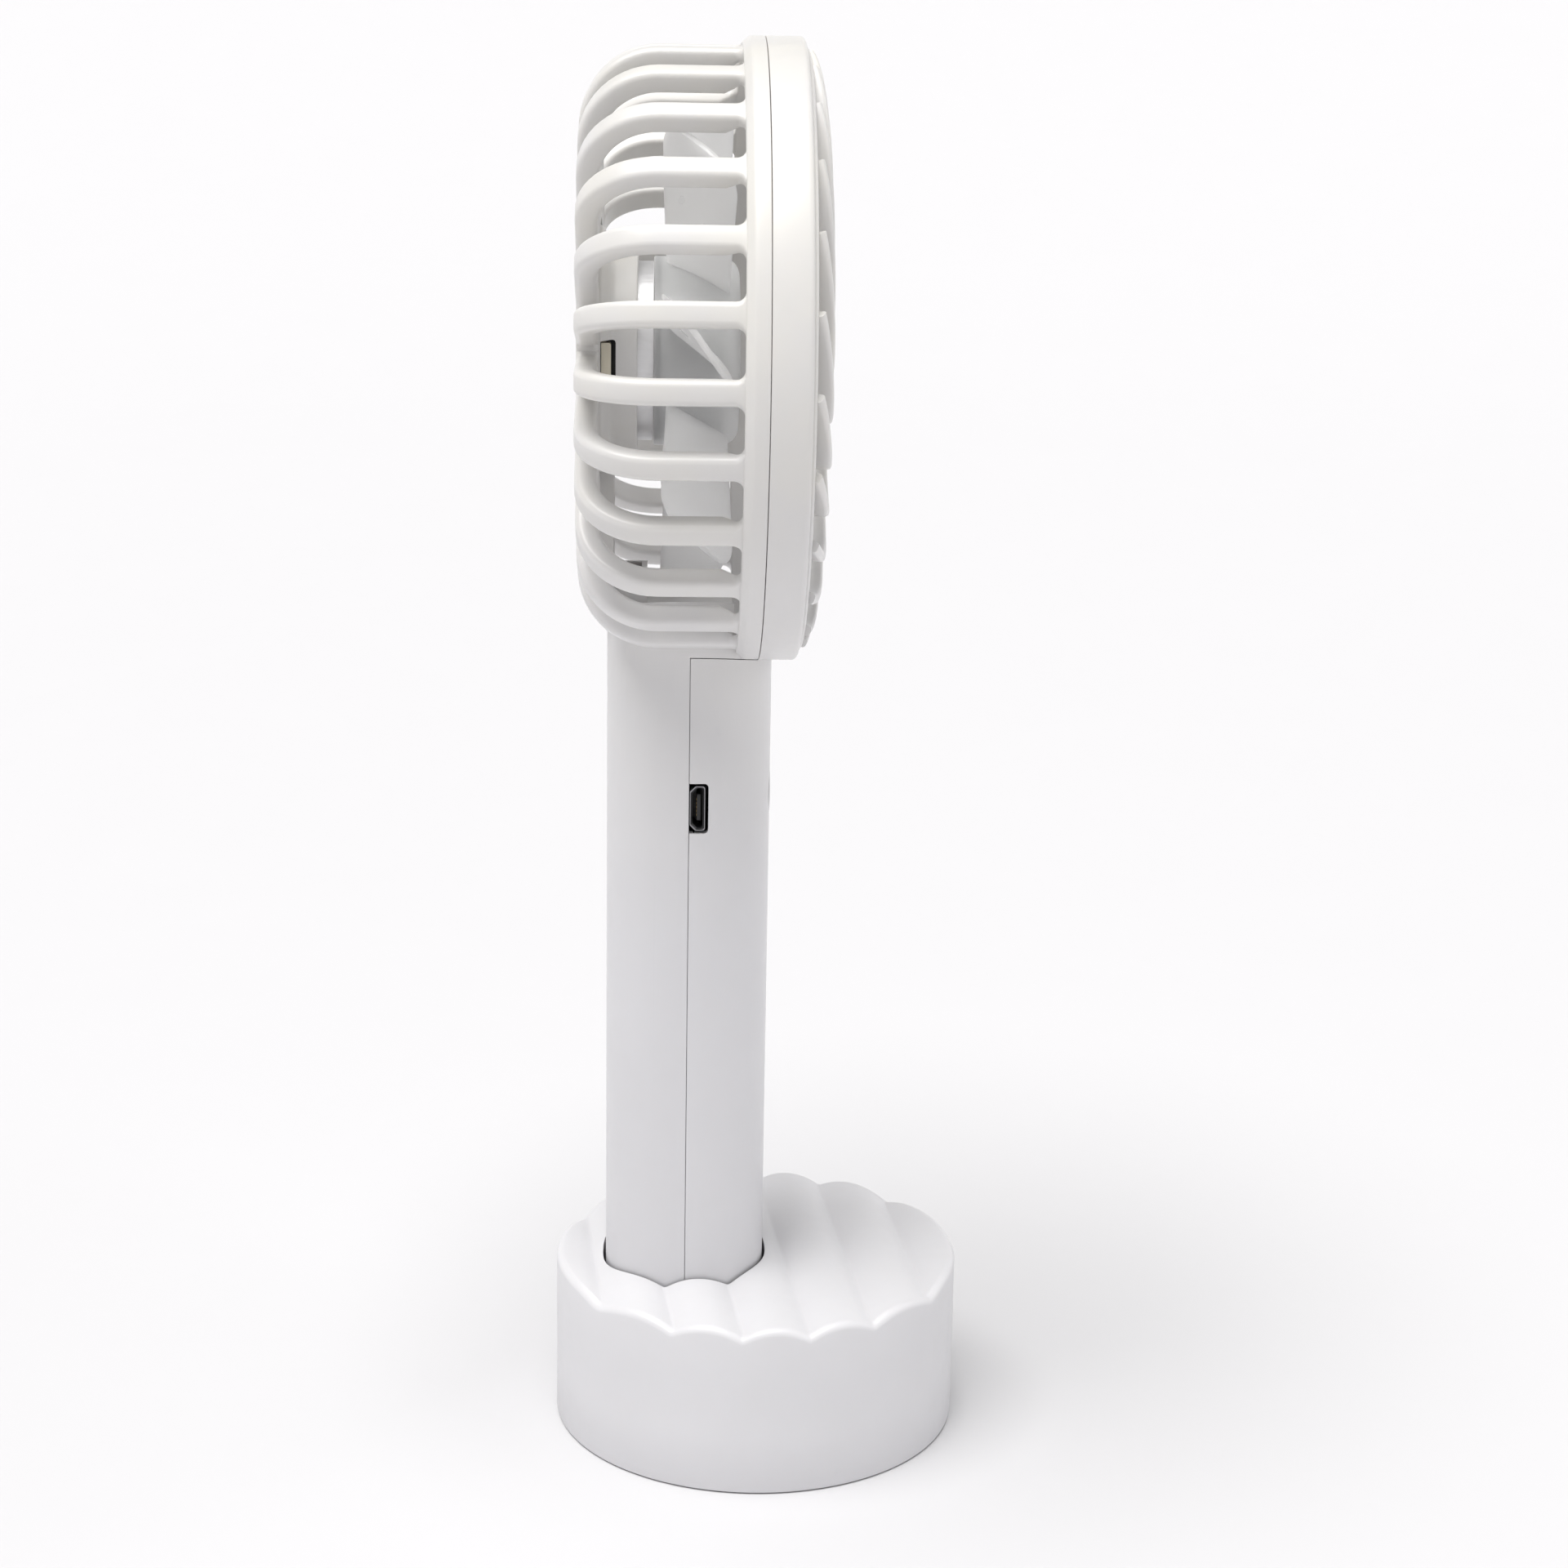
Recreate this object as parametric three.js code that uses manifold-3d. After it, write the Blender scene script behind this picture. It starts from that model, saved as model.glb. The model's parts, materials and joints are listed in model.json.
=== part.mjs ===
// Handheld electric fan standing in its round desk base.
// Millimetres, +Z up, +X the way the air blows, origin at the middle of the base's underside.
import * as THREE from "three";
import { mergeVertices } from "three/addons/utils/BufferGeometryUtils.js";
import Module from "manifold-3d";

const wasm = await Module();
wasm.setup();

// ---- Driving dimensions -------------------------------------------------------------------

const SEAM = 0.2; // gap left between two parts that meet
const WALL = 1.8; // moulded wall of the housings

// Base
const BASE_RADIUS = 35;
const BASE_WALL_BOTTOM = 0.5; // the wall stops short of the table, on the pad
const WAVE_PITCH = 11;
const WAVE_CREST = 29.9;
const WAVE_VALLEY = 28;
const WAVE_PHASE = 4.6; // first valley's distance from the middle
const WAVE_TURN = 5.5; // degrees between the waves' row and +X
const BASE_ROOF = 25.4; // underside of the wavy top
const SOCKET_CLEARANCE = 0.5;
const SOCKET_WALL = 1.6;
const SOCKET_FLOOR = 5.5;
const PAD_THICKNESS = 1.2;
const BASE_SCREW_CIRCLE = 27;
const BASE_SCREW_ANGLES = [0, 110, 250];

// Handle, a slightly squared ellipse in section
const HANDLE_X = -12.7; // the handle stands behind the middle of the base
const HANDLE_HALF_X = 13.7;
const HANDLE_HALF_Y = 14;
const HANDLE_SQUARENESS = 2.5;
const HANDLE_BOTTOM = 5.8;
const NECK_RADIUS = 41.2; // the neck ends inside the cage in a saddle under the blades' circle
const NECK_FRONT = 7; // how far forward the neck reaches inside the cage

// Head, turned about its own axis; x is measured from the handle's middle plane
const HEAD_Z = 186.5;
const HEAD_RADIUS = 50;
const CAGE_RING_REAR = 7.35;
const CAGE_RING_INNER = 46.6;
const HOUSING_SPLIT = 11.05;
const FRONT_RING_FACE = 17.4;
const FRONT_RING_INNER = 48.7;
const FRONT_SHELF_INNER = 46.8;
const FRONT_SHELF_FACE = 13;

// Rear cage
const CAGE_RIBS = 26;
const CAGE_RIB_RADIUS = 48.6;
const CAGE_FIRST_RIB = -1.06; // degrees from -Y towards +Z
const CAGE_RIB_WIDTH = 3.9;
const CAGE_RIB_DEPTH = 3.5;
const CAGE_BACK = -18.3;
const CAGE_CORNER = 12.8;
const BACK_DISC_RADIUS = 22;
const BACK_DISC_THICKNESS = 2.2;
const DUCT_HALF_WIDTH = 5;
const DUCT_FRONT = -12.6;
const DUCT_GROOVE_HALF = 2.6;
const DUCT_GROOVE_FLOOR = -15.6;
const DUCT_INLET = [-12.7, -8]; // the hole in the neck that the wires come up through
const DUCT_INLET_DEPTH = 6;

// Front grille
const GRILLE_RIBS = 24;
const GRILLE_FIRST_RIB = -1.8; // degrees from -Y towards +Z
const GRILLE_SWEEP = 35; // degrees a rib turns between its rim and its centre
const GRILLE_RIB_WIDTH = 1.7;
const GRILLE_RIB_DEPTH = 3;
const GRILLE_RIM_RADIUS = 48.4;
const GRILLE_RIM_INNER = 46.6;
const GRILLE_DOME_EDGE = 17.1;
const GRILLE_DOME_HEIGHT = 4.4;
const GRILLE_DOME_RADIUS = 49;
const GRILLE_HUB_RADIUS = 13;
const GRILLE_CAP_RADIUS = 10.6;

// Motor, a flat brushed can in the cup behind the impeller
const MOTOR_RADIUS = 14.4;
const MOTOR_REAR = -13.6;
const MOTOR_FRONT = -5.6;
const MOTOR_SHELL = 0.8;
const CUP_INNER = 14.8;
const CUP_OUTER = 17;
const CUP_FOOT = 20;
const CUP_FRONT = -8.8;
const SHAFT_RADIUS = 1;
const LUG_Z = [-3.9, 3.5]; // the end cap's lugs, from the fan's axis
const LUG_X = [-14.6, -12.2];

// Impeller
const BLADES = 7;
const FIRST_BLADE = 8.2; // degrees from -Y towards +Z
const HUB_RADIUS = 15.2;
const HUB_REAR = -5.2;
const HUB_FRONT = 7.5;
const BLADE_TIP = 40;
const BLADE_REAR = -5.2;
const BLADE_FRONT = 6.6;
const BLADE_THICKNESS = 1.3;
const BLADE_ROOT_PITCH = 52; // degrees from the plane of rotation
const BLADE_TIP_PITCH = 36;

// Electronics inside the handle
const BOARD_FACE = 0.05; // front face of the circuit board
const BOARD_THICKNESS = 1.2;
const BOARD_HALF_WIDTH = 11.6;
const BOARD_Z = [100, 125];
const USB_Z = 113.15; // middle of the charging socket
const USB_LENGTH = 7.5;
const USB_HEIGHT = 2.5;
const USB_DEPTH = 5.4;
const USB_OPENING = [8.5, 3.2];
const BUTTON_Z = 113.15;
const BUTTON_RADIUS = 4.2;
const BUTTON_GAP = 0.3;
const LIGHT_Z = 121.5;
const LIGHT_RADIUS = 0.9;
const CELL_RADIUS = 9.2;
const CELL_Z = [30, 95];
const WIRE_RADIUS = 0.6;
const HOUSING_SCREW_Z = [19, 130];

// Facets
const HEAD_SIDES = 52;
const BASE_SIDES = 64;
const HANDLE_SIDES = 36;
const SMALL_SIDES = 12;

// ---- Materials ----------------------------------------------------------------------------

const finish = (color, roughness, metalness = 0) =>
  new THREE.MeshStandardMaterial({ color, roughness, metalness });

const FINISHES = {
  white_plastic: () => finish(0xf1f0ee, 0.38),
  clear_plastic: () => finish(0xf4f6f8, 0.2),
  cream_plastic: () => finish(0xe4dcc4, 0.5),
  black_plastic: () => finish(0x16171a, 0.45),
  steel: () => finish(0xb9bcc0, 0.3, 1),
  copper: () => finish(0xb8763f, 0.35, 1),
  bronze: () => finish(0x9c7a45, 0.45, 1),
  ferrite: () => finish(0x3b3b3f, 0.7),
  board: () => finish(0x1d5a38, 0.5),
  cell_wrap: () => finish(0x2c6fb3, 0.4),
  red_wire: () => finish(0xb3221c, 0.5),
  black_wire: () => finish(0x1b1b1c, 0.5),
  rubber: () => finish(0x2a2a2b, 0.85),
};

// ---- Shaping helpers ----------------------------------------------------------------------

const TURN = 2 * Math.PI;
const radians = THREE.MathUtils.degToRad;

// A closed geometry as a solid that can be joined and cut.
function solid(geometry) {
  const bare = geometry.clone();
  bare.deleteAttribute("normal");
  bare.deleteAttribute("uv");
  const merged = mergeVertices(bare, 1e-4);
  return new wasm.Manifold(
    new wasm.Mesh({
      numProp: 3,
      vertProperties: merged.attributes.position.array,
      triVerts: new Uint32Array(merged.index.array),
    }),
  );
}

// A solid back as a geometry.
function geometryOf(body) {
  const mesh = body.getMesh();
  return new THREE.BufferGeometry()
    .setAttribute("position", new THREE.BufferAttribute(mesh.vertProperties, 3))
    .setIndex(new THREE.BufferAttribute(mesh.triVerts, 1));
}

const joined = (bodies) => bodies.reduce((whole, body) => whole.add(body));
const cut = (body, tools) => tools.reduce((left, tool) => left.subtract(tool), body);

// Corners of an arc in a profile, as [x, radius] pairs.
function arc(centreX, centreR, radius, fromDegrees, toDegrees, steps) {
  return Array.from({ length: steps + 1 }, (_, i) => {
    const angle = radians(fromDegrees + ((toDegrees - fromDegrees) * i) / steps);
    return [centreX + radius * Math.cos(angle), centreR + radius * Math.sin(angle)];
  });
}

// Turns a profile of [height, radius] corners about Y. One that starts off the axis is a ring.
function turned(corners, sides) {
  const ring = corners[0][1] > 0;
  const points = corners.map(([height, radius]) => new THREE.Vector2(radius, height));
  if (THREE.ShapeUtils.area(points) < 0) points.reverse();
  if (ring) points.push(points[0].clone());
  return new THREE.LatheGeometry(points, sides);
}

const turnedAboutX = (corners, sides = HEAD_SIDES) => turned(corners, sides).rotateZ(-TURN / 4);
const turnedAboutZ = (corners, sides = SMALL_SIDES) => turned(corners, sides).rotateX(TURN / 4);

// Plain round bars and tubes, from their ends and radii.
const barProfile = (from, to, radius) => [[from, 0], [from, radius], [to, radius], [to, 0]];
const tubeProfile = (from, to, inner, outer) => [[from, inner], [from, outer], [to, outer], [to, inner]];
const barX = (from, to, radius, sides) => turnedAboutX(barProfile(from, to, radius), sides);
const tubeX = (from, to, inner, outer, sides) =>
  turnedAboutX(tubeProfile(from, to, inner, outer), sides);
const barZ = (from, to, radius, sides) => turnedAboutZ(barProfile(from, to, radius), sides);

function block([x0, x1], [y0, y1], [z0, z1]) {
  return new THREE.BoxGeometry(x1 - x0, y1 - y0, z1 - z0).translate(
    (x0 + x1) / 2,
    (y0 + y1) / 2,
    (z0 + z1) / 2,
  );
}

// The handle's section, moved inwards by inset, as an upright prism.
function handlePrism(inset, bottom, top) {
  const power = 2 / HANDLE_SQUARENESS;
  const bulge = (value, half) => Math.sign(value) * Math.abs(value) ** power * (half - inset);
  const outline = Array.from({ length: HANDLE_SIDES }, (_, i) => {
    const angle = (i / HANDLE_SIDES) * TURN;
    return new THREE.Vector2(
      bulge(Math.cos(angle), HANDLE_HALF_X),
      bulge(Math.sin(angle), HANDLE_HALF_Y),
    );
  });
  const options = { depth: top - bottom, bevelEnabled: false };
  return new THREE.ExtrudeGeometry(new THREE.Shape(outline), options).translate(0, 0, bottom);
}

// A round wire through the given points.
function wire(points) {
  const path = new THREE.CatmullRomCurve3(points.map((p) => new THREE.Vector3(...p)));
  const section = new THREE.Shape().absarc(0, 0, WIRE_RADIUS, 0, TURN);
  const steps = Math.ceil(path.getLength() / (7 * WIRE_RADIUS));
  const options = { steps, curveSegments: 4, bevelEnabled: false, extrudePath: path };
  return new THREE.ExtrudeGeometry(section, options);
}

// A pan-head screw along +X from its head, with the drive's cross sunk in the head.
function screw(headRadius, headHeight, shankRadius, length) {
  const body = solid(
    turnedAboutX(
      [
        [-headHeight, 0],
        [-headHeight, headRadius * 0.6],
        [-headHeight * 0.6, headRadius],
        [0, headRadius],
        [0, shankRadius],
        [length - 1, shankRadius],
        [length, 0],
      ],
      SMALL_SIDES,
    ),
  );
  const arm = headRadius * 0.55;
  const slot = headRadius * 0.13;
  const depth = [-headHeight - 1, -headHeight * 0.45];
  return geometryOf(
    cut(body, [
      solid(block(depth, [-arm, arm], [-slot, slot])),
      solid(block(depth, [-slot, slot], [-arm, arm])),
    ]),
  );
}

// ---- Base ---------------------------------------------------------------------------------

// Everything below the row of rounded waves that forms the base's top.
function underWaves() {
  const half = WAVE_PITCH / 2;
  const rise = WAVE_CREST - WAVE_VALLEY;
  const radius = (half * half + rise * rise) / (2 * rise);
  const spread = (Math.asin(half / radius) * 180) / Math.PI;
  const reach = 4;
  const outline = [];
  for (let i = reach - 1; i >= -reach; i--) {
    const middle = WAVE_PHASE + (i + 0.5) * WAVE_PITCH;
    outline.push(...arc(middle, WAVE_CREST - radius, radius, 90 - spread, 90 + spread, 6).slice(0, -1));
  }
  const left = WAVE_PHASE - reach * WAVE_PITCH;
  const right = WAVE_PHASE + reach * WAVE_PITCH;
  outline.push([left, WAVE_VALLEY], [left, -1], [right, -1]);
  const length = 2.4 * BASE_RADIUS;
  const shape = new THREE.Shape(outline.map(([u, z]) => new THREE.Vector2(u, z)));
  return new THREE.ExtrudeGeometry(shape, { depth: length, bevelEnabled: false })
    .rotateX(TURN / 4)
    .translate(0, length / 2, 0)
    .rotateZ(radians(WAVE_TURN));
}

const COVER_BOTTOM = PAD_THICKNESS + 0.1;
const COVER_TOP = COVER_BOTTOM + 2.4;
const SCREW_SEAT = COVER_BOTTOM + 1.4;
const BASE_INNER = BASE_RADIUS - 2;

const screwPlaces = BASE_SCREW_ANGLES.map((degrees) => [
  BASE_SCREW_CIRCLE * Math.cos(radians(degrees)),
  BASE_SCREW_CIRCLE * Math.sin(radians(degrees)),
]);

function baseShell() {
  const drum = solid(barZ(BASE_WALL_BOTTOM, WAVE_CREST + 1, BASE_RADIUS, BASE_SIDES));
  const hollow = solid(barZ(-1, BASE_ROOF, BASE_INNER, BASE_SIDES));
  const shell = drum.intersect(solid(underWaves())).subtract(hollow);
  const socketInset = -SOCKET_CLEARANCE - SOCKET_WALL;
  const atHandle = (prism) => solid(prism.translate(HANDLE_X, 0, 0));
  const socket = atHandle(handlePrism(socketInset, COVER_TOP + 0.3, BASE_ROOF + 1));
  const bore = atHandle(handlePrism(-SOCKET_CLEARANCE, SOCKET_FLOOR, 40));
  const posts = screwPlaces.map(([x, y]) =>
    solid(barZ(COVER_TOP + 0.1, BASE_ROOF + 1, 3).translate(x, y, 0)),
  );
  const pilots = screwPlaces.map(([x, y]) => solid(barZ(0, 16, 1.05, 8).translate(x, y, 0)));
  return geometryOf(cut(joined([shell, socket, ...posts]), [bore, ...pilots]));
}

function baseBottomCover() {
  const disc = solid(barZ(COVER_BOTTOM, COVER_TOP, BASE_INNER - 0.3, BASE_SIDES));
  const holes = screwPlaces.flatMap(([x, y]) => [
    solid(barZ(0, SCREW_SEAT, 2.9).translate(x, y, 0)),
    solid(barZ(0, 10, 1.3).translate(x, y, 0)),
  ]);
  return geometryOf(cut(disc, holes));
}

// ---- Housings -----------------------------------------------------------------------------

const REACH = 60;
const EVERY_Y = [-REACH, REACH];
const EVERY_Z = [-REACH, 4 * REACH];
const atHead = (geometry) => solid(geometry.translate(0, 0, HEAD_Z));

// A cage rib in the plane through the fan's axis: along the side, round the corner, to the disc.
function cageRib() {
  const inner = CAGE_CORNER - CAGE_RIB_DEPTH;
  const cornerX = CAGE_BACK + CAGE_CORNER;
  const cornerR = CAGE_RIB_RADIUS - CAGE_CORNER;
  const ringEnd = CAGE_RING_REAR + 1.2;
  const discEnd = BACK_DISC_RADIUS - 1.2;
  const outline = [
    [ringEnd, CAGE_RIB_RADIUS],
    ...arc(cornerX, cornerR, CAGE_CORNER, 90, 180, 5),
    [CAGE_BACK, discEnd],
    [CAGE_BACK + CAGE_RIB_DEPTH, discEnd],
    ...arc(cornerX, cornerR, inner, 180, 90, 4),
    [ringEnd, CAGE_RIB_RADIUS - CAGE_RIB_DEPTH],
  ];
  const shape = new THREE.Shape(outline.map(([x, r]) => new THREE.Vector2(x, r)));
  const options = { depth: CAGE_RIB_WIDTH, bevelEnabled: false };
  return new THREE.ExtrudeGeometry(shape, options).translate(0, 0, -CAGE_RIB_WIDTH / 2);
}

// The space inside the cage's outer face.
function cageEnvelope() {
  const cornerR = CAGE_RIB_RADIUS - CAGE_CORNER;
  return turnedAboutX([
    [0, 0],
    [0, CAGE_RIB_RADIUS],
    ...arc(CAGE_BACK + CAGE_CORNER, cornerR, CAGE_CORNER, 90, 180, 5),
    [CAGE_BACK, 0],
  ]);
}

// The handle's wall from its closed bottom to the neck's saddle.
function handleShell() {
  const underSaddle = (inset, bottom) =>
    solid(handlePrism(inset, bottom, HEAD_Z)).subtract(
      atHead(barX(-REACH, REACH, NECK_RADIUS + inset)),
    );
  return underSaddle(0, HANDLE_BOTTOM).subtract(underSaddle(WALL, HANDLE_BOTTOM + WALL));
}

// What the handle and its neck take up inside the cage, grown by a seam.
function neckRoom() {
  return solid(handlePrism(-SEAM, HANDLE_BOTTOM, HEAD_Z))
    .intersect(solid(block([-REACH, NECK_FRONT + SEAM], EVERY_Y, EVERY_Z)))
    .subtract(atHead(barX(-REACH, REACH, NECK_RADIUS - SEAM)));
}

function rearHandle() {
  const shell = handleShell();
  const rearHalf = shell.intersect(solid(block([-REACH, -SEAM / 2], EVERY_Y, EVERY_Z)));
  const headRoom = atHead(barX(-REACH, REACH, HEAD_RADIUS));
  const neck = shell
    .intersect(solid(block([-REACH, NECK_FRONT], EVERY_Y, EVERY_Z)))
    .intersect(headRoom);
  const neckFrontWall = solid(handlePrism(0, HANDLE_BOTTOM, HEAD_Z))
    .intersect(solid(block([NECK_FRONT - WALL, NECK_FRONT], EVERY_Y, EVERY_Z)))
    .intersect(headRoom)
    .subtract(atHead(barX(-REACH, REACH, NECK_RADIUS)));
  const bosses = HOUSING_SCREW_Z.map((z) =>
    solid(barX(-HANDLE_HALF_X + 1, -SEAM / 2, 3.2, SMALL_SIDES).translate(0, 0, z)),
  );
  const tools = [
    wireGroove(),
    ...HOUSING_SCREW_Z.flatMap((z) => [
      solid(barX(-20, -5, 2.5, SMALL_SIDES).translate(0, 0, z)),
      solid(barX(-20, 0, 1.15, SMALL_SIDES).translate(0, 0, z)),
    ]),
  ];
  return geometryOf(cut(joined([rearHalf, neck, neckFrontWall, ...bosses]), tools));
}

// The way of the motor's wires: out of the neck, up the duct and into the motor cup.
function wireGroove() {
  const neckTop = HEAD_Z - NECK_RADIUS;
  const width = [-DUCT_GROOVE_HALF, DUCT_GROOVE_HALF];
  const upright = block([DUCT_GROOVE_FLOOR, 0], width, [neckTop, HEAD_Z - CUP_INNER + 1]);
  const inlet = block(DUCT_INLET, width, [neckTop - DUCT_INLET_DEPTH, neckTop + 1]);
  return solid(upright).add(solid(inlet));
}

function rearCage() {
  const ribs = Array.from({ length: CAGE_RIBS }, (_, i) =>
    atHead(cageRib().rotateX((i / CAGE_RIBS + 1 / 2) * TURN - radians(CAGE_FIRST_RIB))),
  );
  const ring = atHead(
    tubeX(CAGE_RING_REAR, HOUSING_SPLIT - SEAM / 2, CAGE_RING_INNER, HEAD_RADIUS),
  );
  const disc = atHead(barX(CAGE_BACK, CAGE_BACK + BACK_DISC_THICKNESS, BACK_DISC_RADIUS, 32));
  const cup = atHead(
    turnedAboutX(
      [
        [CAGE_BACK + 1, CUP_INNER],
        [CAGE_BACK + 1, CUP_FOOT],
        [CAGE_BACK + 4, CUP_FOOT],
        [CAGE_BACK + 5.5, CUP_OUTER],
        [CUP_FRONT, CUP_OUTER],
        [CUP_FRONT, CUP_INNER],
      ],
      32,
    ),
  );
  const ductWidth = [-DUCT_HALF_WIDTH, DUCT_HALF_WIDTH];
  const ductSpan = [HEAD_Z - CAGE_RIB_RADIUS, HEAD_Z - CUP_INNER - 1];
  const duct = solid(block([CAGE_BACK, DUCT_FRONT], ductWidth, ductSpan)).intersect(
    atHead(cageEnvelope()),
  );
  const [lugLow, lugHigh] = LUG_Z.map((z) => HEAD_Z + z);
  const lugWindows = solid(block(LUG_X, [-CUP_FOOT - 1, CUP_FOOT + 1], [lugLow, lugHigh]));
  const tools = [neckRoom(), wireGroove(), lugWindows];
  return geometryOf(cut(joined([ring, disc, cup, duct, ...ribs]), tools));
}

function frontHousing() {
  const cageRoom = atHead(barX(-REACH, HOUSING_SPLIT + SEAM / 2, HEAD_RADIUS + SEAM));
  const ringRoom = atHead(barX(-REACH, REACH, FRONT_RING_INNER + 0.3));
  const frontHalf = handleShell()
    .intersect(solid(block([SEAM / 2, REACH], EVERY_Y, EVERY_Z)))
    .subtract(cageRoom)
    .subtract(ringRoom);
  const ring = atHead(
    turnedAboutX([
      [HOUSING_SPLIT + SEAM / 2, FRONT_SHELF_INNER],
      [HOUSING_SPLIT + SEAM / 2, HEAD_RADIUS],
      [FRONT_RING_FACE - 0.8, HEAD_RADIUS],
      [FRONT_RING_FACE, HEAD_RADIUS - 0.7],
      [FRONT_RING_FACE, FRONT_RING_INNER],
      [FRONT_SHELF_FACE, FRONT_RING_INNER],
      [FRONT_SHELF_FACE, FRONT_SHELF_INNER],
    ]),
  );
  const bosses = HOUSING_SCREW_Z.map((z) =>
    solid(barX(SEAM / 2, HANDLE_HALF_X - 1, 2.8, SMALL_SIDES).translate(0, 0, z)),
  );
  const [openingLength, openingHeight] = USB_OPENING;
  const openingZ = [USB_Z - openingLength / 2, USB_Z + openingLength / 2];
  const tools = [
    solid(block([0, openingHeight], [-REACH, 0], openingZ)),
    solid(barX(5, 20, BUTTON_RADIUS + BUTTON_GAP, 24).translate(0, 0, BUTTON_Z)),
    solid(barX(5, 20, LIGHT_RADIUS + 0.2, 12).translate(0, 0, LIGHT_Z)),
    ...HOUSING_SCREW_Z.map((z) => solid(barX(-1, 9, 1, 12).translate(0, 0, z))),
  ];
  return geometryOf(cut(joined([frontHalf, ring, ...bosses]), tools));
}

// ---- Front grille -------------------------------------------------------------------------

const domeFace = (r) =>
  GRILLE_DOME_EDGE + GRILLE_DOME_HEIGHT * Math.sqrt(1 - (r / GRILLE_DOME_RADIUS) ** 6);

// The middle line of a swirl rib, from the hub out to the rim over the dome.
class SwirlRib extends THREE.Curve {
  getPoint(t, target = new THREE.Vector3()) {
    const start = GRILLE_HUB_RADIUS - 1;
    const end = GRILLE_RIM_RADIUS - 0.9;
    const r = start + (end - start) * t;
    const turn = radians(-GRILLE_SWEEP * (1 - t * t));
    return target.set(
      domeFace(r) - GRILLE_RIB_DEPTH / 2,
      -r * Math.cos(turn),
      r * Math.sin(turn),
    );
  }
}

function frontGrille() {
  const halfDepth = GRILLE_RIB_DEPTH / 2;
  const halfWidth = GRILLE_RIB_WIDTH / 2;
  const section = new THREE.Shape()
    .moveTo(-halfDepth, -halfWidth)
    .lineTo(halfDepth, -halfWidth)
    .lineTo(halfDepth, halfWidth)
    .lineTo(-halfDepth, halfWidth);
  const rib = new THREE.ExtrudeGeometry(section, {
    steps: 6,
    bevelEnabled: false,
    extrudePath: new SwirlRib(),
  });
  const ribs = Array.from({ length: GRILLE_RIBS }, (_, i) =>
    solid(rib.clone().rotateX(-radians(GRILLE_FIRST_RIB) - (i / GRILLE_RIBS) * TURN)),
  );
  const rim = solid(
    turnedAboutX(
      tubeProfile(FRONT_SHELF_FACE + 0.2, GRILLE_DOME_EDGE + 0.9, GRILLE_RIM_INNER, GRILLE_RIM_RADIUS),
    ),
  );
  const hubFace = domeFace(GRILLE_HUB_RADIUS);
  const hub = solid(barX(hubFace - GRILLE_RIB_DEPTH, hubFace, GRILLE_HUB_RADIUS, 32));
  const recess = solid(barX(hubFace - 1.2, hubFace + 1, GRILLE_CAP_RADIUS + 0.2, 32));
  return geometryOf(joined([rim, hub, ...ribs]).subtract(recess));
}

// ---- Motor and impeller -------------------------------------------------------------------

const BUSH_OUTER = 3;

function motorCan() {
  return turnedAboutX(
    [
      [MOTOR_REAR, MOTOR_RADIUS - MOTOR_SHELL],
      [MOTOR_REAR, MOTOR_RADIUS],
      [MOTOR_FRONT - 0.8, MOTOR_RADIUS],
      [MOTOR_FRONT, MOTOR_RADIUS - 0.8],
      [MOTOR_FRONT, BUSH_OUTER + 0.1],
      [MOTOR_FRONT - MOTOR_SHELL, BUSH_OUTER + 0.1],
      [MOTOR_FRONT - MOTOR_SHELL, MOTOR_RADIUS - MOTOR_SHELL],
    ],
    32,
  );
}

const CAP_REAR = CAGE_BACK + BACK_DISC_THICKNESS + 0.1;
const CAP_FRONT = MOTOR_REAR - 0.1;
const REAR_BUSH = [CAP_REAR, CAP_REAR + 2.6];
const FRONT_BUSH = [MOTOR_FRONT - 1.6, MOTOR_FRONT + 0.3];

// The motor's plastic end cap, with a lug each side that snaps into the cup's window.
function motorEndCap() {
  const disc = solid(barX(CAP_REAR, CAP_FRONT, MOTOR_RADIUS, 32));
  const reach = CUP_OUTER - 0.3;
  const lugZ = LUG_Z.map((z) => z * 0.85);
  const lugRear = LUG_X[0] + 0.35;
  const strap = solid(block([lugRear, CAP_FRONT], [-reach, reach], lugZ));
  const hooks = solid(block([lugRear, LUG_X[1] - 0.75], [-reach, reach], lugZ)).subtract(
    solid(barX(-REACH, REACH, MOTOR_RADIUS + 0.3, 32)),
  );
  const bushHole = solid(barX(CAP_REAR - 1, CAP_FRONT + 1, BUSH_OUTER + 0.1, SMALL_SIDES));
  return geometryOf(joined([disc, strap, hooks]).subtract(bushHole));
}

const bush = ([from, to]) => tubeX(from, to, SHAFT_RADIUS + 0.05, BUSH_OUTER, SMALL_SIDES);

// A cambered, twisted blade from the hub to its tip, on the -Y side.
function blade() {
  const root = HUB_RADIUS - 0.9;
  const span = BLADE_TIP - root;
  const height = BLADE_FRONT - BLADE_REAR;
  const geometry = new THREE.BoxGeometry(height, span, BLADE_THICKNESS, 4, 3, 1);
  const corners = geometry.attributes.position;
  for (let i = 0; i < corners.count; i++) {
    const along = corners.getX(i) / height;
    const out = 0.5 - corners.getY(i) / span;
    const pitch = radians(BLADE_ROOT_PITCH + (BLADE_TIP_PITCH - BLADE_ROOT_PITCH) * out);
    const trim = 1 - 0.22 * (1 - out) - 0.12 * out ** 6;
    const x = along * height * trim;
    const camber = 1.6 * (0.25 - along * along);
    const tangential = -x / Math.tan(pitch) + camber + corners.getZ(i) / Math.sin(pitch);
    const radius = root + out * span;
    const angle = tangential / radius;
    corners.setXYZ(i, x, -radius * Math.cos(angle), radius * Math.sin(angle));
  }
  return geometry.translate((BLADE_REAR + BLADE_FRONT) / 2, 0, 0).rotateX(-radians(FIRST_BLADE));
}

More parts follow.
